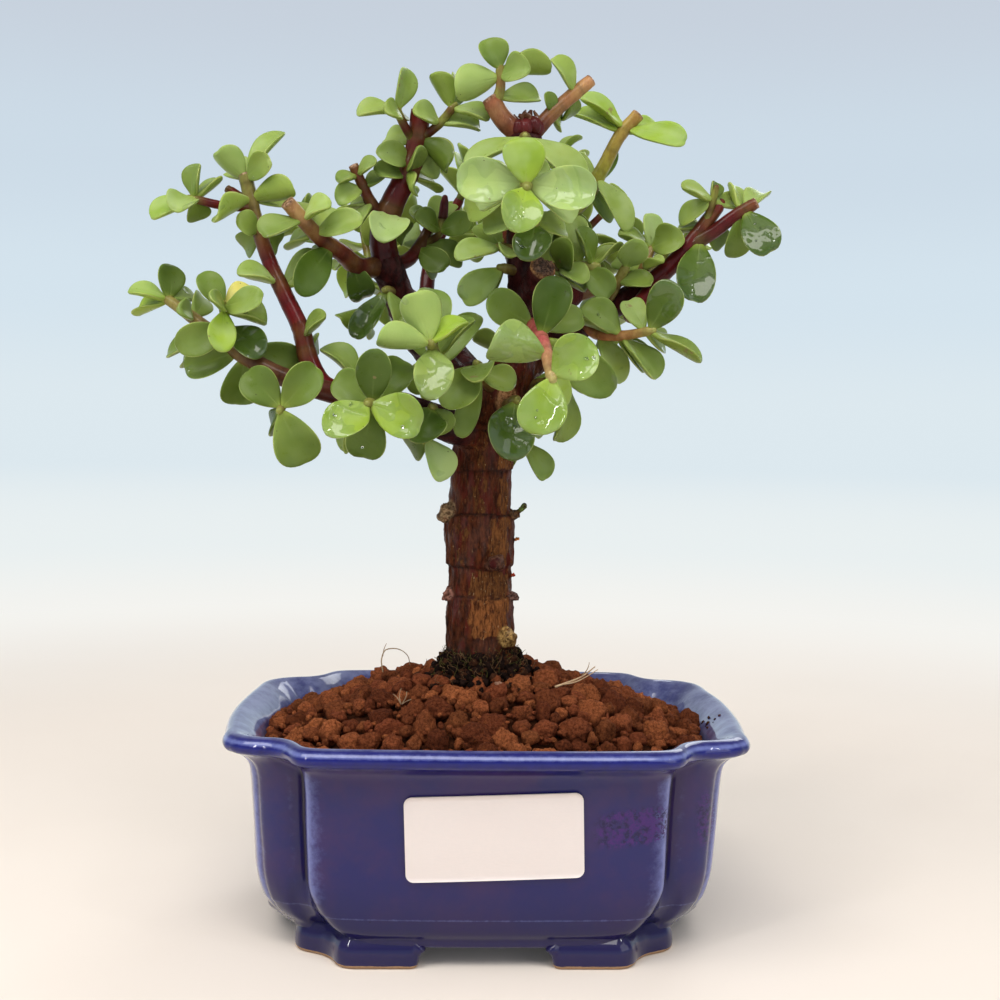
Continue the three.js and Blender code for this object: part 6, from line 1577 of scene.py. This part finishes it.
def clashes(leaf, placed, stems, blade_gap, stem_gap):
    """How many samples of the leaf and of its neighbours lie too near to each other or a stem."""
    samples = leaf_points(leaf, SAMPLE_T, SAMPLE_S)
    count = 0
    if placed["length"].size:
        apart = np.linalg.norm(placed["root"] - leaf["root"], axis=1)
        near = apart <= leaf["length"] + placed["length"] + blade_gap
        others = {key: value[near] for key, value in placed.items()}
        own = stacked([leaf])
        count += samples_in_blades(np.broadcast_to(samples, (near.sum(), 17, 3)), others, blade_gap).sum()
        theirs = others["samples"].reshape(1, -1, 3)
        count += samples_in_blades(theirs, own, blade_gap).sum() if near.any() else 0
    a, b, radius, own_stem = stems["a"], stems["b"], stems["radius"], stems["spray"] == leaf["spray"]
    reach = leaf["length"] + np.linalg.norm(b - a, axis=1) + radius + stem_gap
    near = np.linalg.norm(a - leaf["root"], axis=1) < reach
    a, b, radius, own_stem = a[near], b[near], radius[near], own_stem[near]
    way = b - a
    t = ((samples[None] - a[:, None]) * way[:, None]).sum(-1) / (way**2).sum(-1)[:, None]
    apart = np.linalg.norm(samples[None] - a[:, None] - np.clip(t, 0, 1)[..., None] * way[:, None], axis=-1)
    hit = apart < radius[:, None] + stem_gap
    hit[:, :4] &= ~own_stem[:, None]
    return count + hit.sum()


def turned(vector, axis, degrees):
    angle = math.radians(degrees)
    return (vector * math.cos(angle) + np.cross(axis, vector) * math.sin(angle)
            + axis * axis.dot(vector) * (1 - math.cos(angle)))


def bent_leaf(leaf, bend, roll, scale):
    across = np.cross(leaf["normal"], leaf["along"])
    along = turned(leaf["along"], across, -bend)
    normal = turned(turned(leaf["normal"], across, -bend), along, roll)
    return {**leaf, "along": along, "normal": normal, "length": leaf["length"] * scale,
            "width": leaf["width"] * scale}


def settled_leaves(leaves, stems):
    """Bends each leaf clear of the stems and of the leaves placed before it.

    The leaves that the part leaves out for want of room come last, and may sit closer.
    """
    placed, crowded = [], []
    arrays = {**{key: np.empty((0, 3)) for key in ("root", "along", "normal", "across")},
              "length": np.empty(0), "width": np.empty(0), "samples": np.empty((0, 17, 3))}
    for waiting, gaps in ((leaves, (BLADE_CLEARANCE, STEM_CLEARANCE)), (crowded, CLOSE_CLEARANCE)):
        for leaf in list(waiting):
            fewest = None
            for scale in (1, 0.86, 0.72):
                for bend, roll in BENDS:
                    if fewest == 0:
                        break
                    tried = bent_leaf(leaf, bend, roll, scale)
                    count = clashes(tried, arrays, stems, *gaps)
                    if fewest is None or count < fewest:
                        best, fewest = tried, count
            if fewest > 0:
                crowded.append(leaf)
                continue
            placed.append(best)
            row = stacked([best])
            row["samples"] = leaf_points(best, SAMPLE_T, SAMPLE_S)[None]
            arrays = {key: np.concatenate([value, row[key]]) for key, value in arrays.items()}
    return placed


def nearest_on_stems(point, stems):
    best, least = None, math.inf
    for points, _ in stems:
        for a, b in zip(points[:-1], points[1:]):
            t = min(1, max(0, (point - a).dot(b - a) / (b - a).dot(b - a)))
            near = a + t * (b - a)
            if np.linalg.norm(near - point) < least:
                best, least = near, np.linalg.norm(near - point)
    return best


def spray_stems(rows):
    stems = []
    for root_radius, end_radius, places in rows:
        points = [place(spot) for spot in places]
        radii = list(np.linspace(root_radius, end_radius, len(points)))
        points.append(points[-1] + unit(points[-1] - points[-2]) * BUD_LENGTH)
        stems.append((np.array(points), np.array(radii + [0.7 * end_radius])))
    return stems


def laid_out_sprays():
    """Every leafy stem: its name, its stems, and its leaves as first laid out."""
    random = seeded_random(SEED + 1)
    looks = {tip: look for look, tips in LOOKS.items() for tip in tips}
    sprays = []
    for name, rows, tufts in SPRAYS:
        stems = spray_stems(rows)
        leaves = []
        for x, z, y, tips in tufts:
            root = nearest_on_stems(place((x, z, y)), stems)
            for *tip, turn, width in tips:
                leaf = leaf_towards(name, root, place(tip), turn, width)
                leaf.update(look=looks.get(tuple(tip[:2])), wet=tuple(tip[:2]) in WET)
                leaves.append(leaf)
        sprays.append((name, stems, leaves))
    for name, row, shoots in BACK_SPRAYS:
        stems = spray_stems([row, *([1.3, 1, [shoot[0], shoot[1]]] for shoot in shoots)])
        leaves = [leaf for shoot in shoots for leaf in paired_leaves(name, shoot, random)]
        sprays.append((name, stems, [{**leaf, "look": None, "wet": False} for leaf in leaves]))
    return sprays


def stem_pieces(sprays):
    """Straight pieces of all the wood as arrays, for keeping leaves clear."""
    rows = [("wood", np.array([place(row[1:]) for row in limb]), np.array([row[0] for row in limb]))
            for _, limb in LIMBS]
    rows += [(name, points, radii) for name, stems, _ in sprays for points, radii in stems]
    return dict(
        spray=np.array([name for name, points, _ in rows for _ in points[1:]]),
        a=np.concatenate([points[:-1] for _, points, _ in rows]),
        b=np.concatenate([points[1:] for _, points, _ in rows]),
        radius=np.concatenate([np.maximum(radii[:-1], radii[1:]) for _, _, radii in rows]))


# ---- Leaves and stems as pieces -------------------------------------------------------------

LEAF_RINGS = 17
LEAF_SIDES = 18


def leaf_lump(leaf, rng):
    """A full, rounded leaf: points, faces and its own coordinates."""
    t = 0.5 - 0.5 * np.cos(np.pi * np.arange(1, LEAF_RINGS + 1) / (LEAF_RINGS + 1))
    t = t[:, None] * np.ones((1, LEAF_SIDES))
    angle = 2 * np.pi * np.arange(LEAF_SIDES)[None, :] / LEAF_SIDES
    s = np.sign(np.cos(angle)) * np.abs(np.cos(angle)) ** 0.8 * np.ones_like(t)
    up = np.sin(angle) * np.ones_like(t)
    thick = LEAF_THICK / 2 * (0.72 + 0.28 * np.sin(np.pi * t)) * np.sqrt(np.minimum(1, (1 - t) / 0.07))
    wave = 0.02 * leaf["width"] * noise(np.column_stack([
        3.2 * t.ravel() + rng.uniform(0, 50), 1.1 * s.ravel(), 0 * t.ravel()])).reshape(t.shape)
    across = np.cross(leaf["normal"], leaf["along"])
    share = s * leaf_outline(t)
    lean = rng.uniform(-0.07, 0.07) * leaf["length"] * t * t
    # Each leaf cups, folds along its midrib, curls at the tip and twists in its own measure.
    ease_in = np.minimum(1, 2.5 * t)
    cup = rng.uniform(0.0, 0.14) * leaf["width"] * share**2 * ease_in
    cup += rng.uniform(-0.02, 0.15) * leaf["width"] * (np.sqrt(share**2 + 0.02) - 0.14) * ease_in
    cup += rng.uniform(-0.15, 0.10) * leaf["length"] * (t**3 - 0.35 * t)
    twist = rng.uniform(-0.38, 0.38) * t
    notch = rng.choice([0.0, 0.0, 0.0, 0.02, 0.05]) * np.exp(-((share / 0.3) ** 2)) * t**8
    height = leaf_rise(leaf, t, share) + cup + wave + up * thick * (1 - 0.25 * np.abs(share) ** 3)
    reach = leaf["width"] / 2 * share
    height, reach = height + reach * np.sin(twist), reach * np.cos(twist) + lean
    grid = (leaf["root"] + (leaf["length"] * (t - notch))[..., None] * leaf["along"]
            + reach[..., None] * across + height[..., None] * leaf["normal"])
    tip = grid[-1].mean(axis=0)
    points = np.vstack([leaf["root"], grid.reshape(-1, 3), tip])
    return points, capped(LEAF_RINGS, LEAF_SIDES), dict(
        leaf_t=np.concatenate([[0], t.ravel(), [1]]), leaf_s=np.concatenate([[0], s.ravel(), [0]]),
        leaf_up=np.concatenate([[0], up.ravel(), [0]]))


def kept_inside(points, share):
    """Bends a leaf back into the part's own box, each point by its share."""
    low, high = (np.array(CAD_BOX) - POT_CENTRE) / MM + ((0.1,), (-0.1,))
    over = np.maximum(points.max(axis=0) - high, 0) - np.maximum(low - points.min(axis=0), 0)
    return points - share[:, None] * over


LOOK_TINTS = {
    "bright": (0.250, 0.370, 0.028),
    "dark": (0.052, 0.095, 0.006),
    "pale": (0.32, 0.43, 0.13),
    "yellow": (0.66, 0.58, 0.12),
}
OLD_AND_SHADED_LEAF = np.array([0.050, 0.094, 0.005])
YOUNG_AND_SKY_LIT_LEAF = np.array([0.290, 0.385, 0.078])


def leaf_tint(leaf, rng):
    """The leaf's own green, painted paler when it faces the sky, or the tint of its look if it has one."""
    if leaf["look"]:
        return np.array(LOOK_TINTS[leaf["look"]]) * rng.uniform(0.9, 1.1)
    # Leaves near the top tend to be young and pale, the rest old and dark; leaves that face the sky are
    # painted paler as if lit from above, and the others darker as if in shade.
    raised = ease(130, 215, leaf["root"][2])
    young_and_sky_lit = 0.45 * rng.uniform(0, 1) + 0.35 * ease(-0.1, 0.8, leaf["normal"][2]) + 0.20 * raised
    tint = OLD_AND_SHADED_LEAF * (1 - young_and_sky_lit) + YOUNG_AND_SKY_LIT_LEAF * young_and_sky_lit
    return tint * rng.uniform(0.85, 1.15)


def build_sprays(leaf_material, stem_material, water_material):
    rng = np.random.default_rng(SEED + 3)
    sprays = laid_out_sprays()
    settled = settled_leaves([leaf for spray in sprays for leaf in spray[2]], stem_pieces(sprays))
    drops = Heap()
    for name, stems, _ in sprays:
        own = [leaf for leaf in settled if leaf["spray"] == name]
        heap = Heap()
        for leaf in own:
            points, faces, values = leaf_lump(leaf, rng)
            points = kept_inside(points, ease(0, 0.6, values["leaf_t"]))
            heap.add(points, faces, tint=leaf_tint(leaf, rng),
                     wet=np.full(len(points), float(leaf["wet"])), **values)
            add_drops(drops, leaf, rng)
        heap.build(name + "_leaves", leaf_material, slot="leaf", stands_for=[name])
        roots = np.array([leaf["root"] for leaf in own])
        heap = Heap()
        default = RED_STEM if stems[0][1][0] > 2.3 else YOUNG_STEM
        colours = np.array(STEM_COLOURS.get(name, default))
        for number, (points, radii) in enumerate(stems):
            cut = (name, number) in CUT_STEMS
            path, widths = smooth_path(points, radii, 0.6)
            apart = np.linalg.norm(path[:, None] - roots[None], axis=-1).min(axis=1)
            if cut:
                widths = np.maximum(widths, widths[len(widths) // 2] * 0.86)
            walked = 0.6 * np.arange(len(path))
            scar = np.exp(-(((walked % 6.5 - 3.2) / 0.4) ** 2))
            widths = widths * (1 + 0.05 * np.exp(-((apart / 1.1) ** 2)) + 0.03 * scar
                               + 0.02 * noise(path / 2.5))
            points, faces, share = tube(path, widths, 12, flat_end=cut)
            lengths = np.linspace(0, 1, len(path))
            ring = np.interp(share, lengths, scar)[:, None]
            leafy = np.interp(share, lengths, np.exp(-((apart / 2.2) ** 2)))[:, None]
            stops = [(np.interp(share, (0, 0.62, 0.96), colours[:, k])) for k in range(3)]
            colour = np.stack(stops, -1) * (1 - 0.4 * ring)
            green = 0.7 if max(radii) < 1.7 else 0.12
            colour = colour * (1 - green * leafy) + np.array([0.26, 0.32, 0.06]) * green * leafy
            ends = ease(-0.35, -0.05, (points - path[-1]) @ unit(path[-1] - path[-2])) if cut else 0 * share
            heap.add(points, faces, tint=colour, cut=ends)
        heap.build(name + "_stems", stem_material, slot="bark", stands_for=[name])
    drops.build("water_drops", water_material, slot="leaf", stands_for=[sprays[0][0]])


def add_drops(heap, leaf, rng):
    """Water drops on the upper side of a leaf: many on wet leaves, now and then one elsewhere."""
    count = rng.integers(3, 7) if leaf["wet"] else int(rng.random() < 0.22)
    rings, sides = 5, 12
    for _ in range(count):
        t, s = rng.uniform(0.3, 0.86), rng.uniform(-0.6, 0.6)
        radius = rng.uniform(0.25, 0.6) * (1.0 if leaf["wet"] else 0.75)
        side = 1 if leaf["normal"][2] > -0.2 else -1
        thick = LEAF_THICK / 2 * (0.72 + 0.28 * math.sin(math.pi * t))
        centre = leaf_points(leaf, t, s, side * (thick * math.sqrt(1 - s * s * 0.8) - 0.08))
        up = side * leaf["normal"]
        first = unit(np.cross(up, (0.3, 0.9, 0.1)))
        second = np.cross(up, first)
        squash = rng.uniform(0.75, 1.3)
        points = [centre - up * 0.15]
        for lift in np.linspace(0, np.pi / 2, rings, endpoint=False):
            angles = 2 * np.pi * np.arange(sides) / sides
            reach = radius * math.cos(lift)
            points.append(centre + up * 0.42 * radius * math.sin(lift)
                          + reach * (np.outer(np.cos(angles) * squash, first)
                                     + np.outer(np.sin(angles), second)))
        points.append(centre + up * 0.42 * radius)
        heap.add(np.vstack(points), capped(rings, sides))


# ---- Stage, light and camera ----------------------------------------------------------------

def build_stage():
    """A plain pale floor that glows faintly near the pot, painted light that lifts it and its shadows, and
    glows into the backdrop's own colour far away.
    """
    floor = bpy.data.meshes.new("floor")
    reach = 12.0
    floor.from_pydata([(-reach, -reach, 0), (reach, -reach, 0), (reach, reach, 0), (-reach, reach, 0)],
                      [], [(0, 1, 2, 3)])
    paint = Paint("pale_floor", Roughness=0.9, Specular_IOR_Level=0.0)
    away = paint.node("ShaderNodeVectorMath", {0: paint.where}, operation="LENGTH").outputs["Value"]
    near = paint.mix(paint.noise(60, 3), (0.80, 0.715, 0.635), (0.82, 0.74, 0.665))
    far = paint.mix(paint.fit(away, 0.45, 1.1), (0.92, 0.905, 0.865), (0.82, 0.87, 0.875))
    far = paint.mix(paint.fit(away, 0.9, 3.2), far, BACKDROP[0][1])
    # Painted light: the floor's emission is faint near the pot and full far away.
    glow = paint.fit(away, 0.24, 0.62)
    paint.set(Base_Color=paint.mix(glow, near, (0, 0, 0)), Emission_Color=far,
              Emission_Strength=paint.fit(glow, 0, 1, 0.035, 1.0, False))
    floor.materials.append(paint.material)
    piece = bpy.data.objects.new("floor", floor)
    bpy.context.scene.collection.objects.link(piece)


# The backdrop from the horizon up: (sine of the height above the horizon, colour).
BACKDROP = [(0.0, (0.72, 0.81, 0.86)), (0.08, (0.66, 0.77, 0.85)), (0.17, (0.61, 0.71, 0.80)),
            (0.28, (0.57, 0.635, 0.72)), (0.42, (0.30, 0.32, 0.34)), (1.0, (0.52, 0.52, 0.52))]
# Softboxes: name, place in metres, length and width in metres, watts, colour.
LIGHTS = [
    ("key", (-0.20, -0.42, 0.84), (1.10, 0.34), 6.8, (1.0, 0.97, 0.93)),
    ("fill", (0.60, -0.62, 0.42), (0.45, 0.45), 1.0, (0.97, 0.98, 1.0)),
    ("rim", (0.35, 0.70, 0.62), (0.45, 0.45), 2.0, (0.95, 0.98, 1.0)),
    ("spark_left", (-0.42, -0.50, 0.52), (0.03, 0.18), 0.8, (1.0, 1.0, 1.0)),
    ("spark_right", (0.40, -0.40, 0.60), (0.03, 0.12), 0.4, (1.0, 1.0, 1.0)),
]


def build_light():
    world = bpy.data.worlds.new("studio")
    bpy.context.scene.world = world
    world.use_nodes = True
    nodes, links = world.node_tree.nodes, world.node_tree.links
    coords = nodes.new("ShaderNodeTexCoord")
    split = nodes.new("ShaderNodeSeparateXYZ")
    ramp = nodes.new("ShaderNodeValToRGB")
    links.new(coords.outputs["Generated"], split.inputs[0])
    links.new(split.outputs["Z"], ramp.inputs[0])
    links.new(ramp.outputs["Color"], nodes["Background"].inputs["Color"])
    ramp.color_ramp.interpolation = "EASE"
    ramp.color_ramp.elements[0].color = (*BACKDROP[0][1], 1)
    ramp.color_ramp.elements[1].color = (*BACKDROP[-1][1], 1)
    for at, colour in BACKDROP[1:-1]:
        ramp.color_ramp.elements.new(at).color = (*colour, 1)
    nodes["Background"].inputs["Strength"].default_value = 1.0
    for name, spot, size, power, colour in LIGHTS:
        data = bpy.data.lights.new(name, "AREA")
        data.shape, data.energy, data.color = "RECTANGLE", power, colour
        data.size, data.size_y = size
        lamp = bpy.data.objects.new(name, data)
        aim = np.array([0, 0, 0.10]) - np.array(spot)
        lamp.matrix_world = looking(np.array(spot), unit(aim), 0.0)
        bpy.context.scene.collection.objects.link(lamp)


def looking(spot, forward, roll):
    """Matrix of something at `spot` that looks along `forward`, rolled by an angle."""
    right = unit(np.cross(forward, (0, 0, 1)))
    up = np.cross(right, forward)
    turned_right = right * math.cos(roll) + up * math.sin(roll)
    turned_up = up * math.cos(roll) - right * math.sin(roll)
    columns = np.column_stack([turned_right, turned_up, -forward, spot])
    return Matrix([*columns.tolist(), [0, 0, 0, 1]])


def build_camera():
    """The front view: an eye 385 mm before the trunk, turned and tipped a little."""
    pan, pitch, roll = math.radians(1.84), math.radians(3.7), math.radians(0.85)
    data = bpy.data.cameras.new("camera")
    data.sensor_width = 36.0
    data.lens = 50.4
    data.clip_start, data.clip_end = 0.01, 50
    camera = bpy.data.objects.new("camera", data)
    forward = np.array([math.sin(pan) * math.cos(pitch), math.cos(pan) * math.cos(pitch), -math.sin(pitch)])
    camera.matrix_world = looking(EYE * MM + POT_CENTRE, forward, roll)
    bpy.context.scene.collection.objects.link(camera)
    bpy.context.scene.camera = camera


build_camera()
build_light()
build_stage()
bpy.context.scene.view_settings.view_transform = "Standard"

GLAZE, LEAF, STEM, BARK, GRIT = glaze_paint(), leaf_paint(), stem_paint(), bark_paint(), crumb_paint()
build_pot(GLAZE)
build_drain_meshes(plain_paint("net_plastic", (0.012, 0.012, 0.012), (0.03, 0.03, 0.03), 2, Roughness=0.5))
build_label(label_paint())
# The bed's dark brown is painted shade between the crumbs.
build_soil(GRIT, plain_paint("soil_bed_in_painted_shade", (0.020, 0.007, 0.003), (0.07, 0.022, 0.010), 1.6, Roughness=0.95,
                             Specular_IOR_Level=0.05), GRIT)
build_litter(STEM, GRIT)
build_wood(BARK)
build_leader_tip(STEM, np.random.default_rng(SEED + 4))
build_sprays(LEAF, STEM, water_paint())
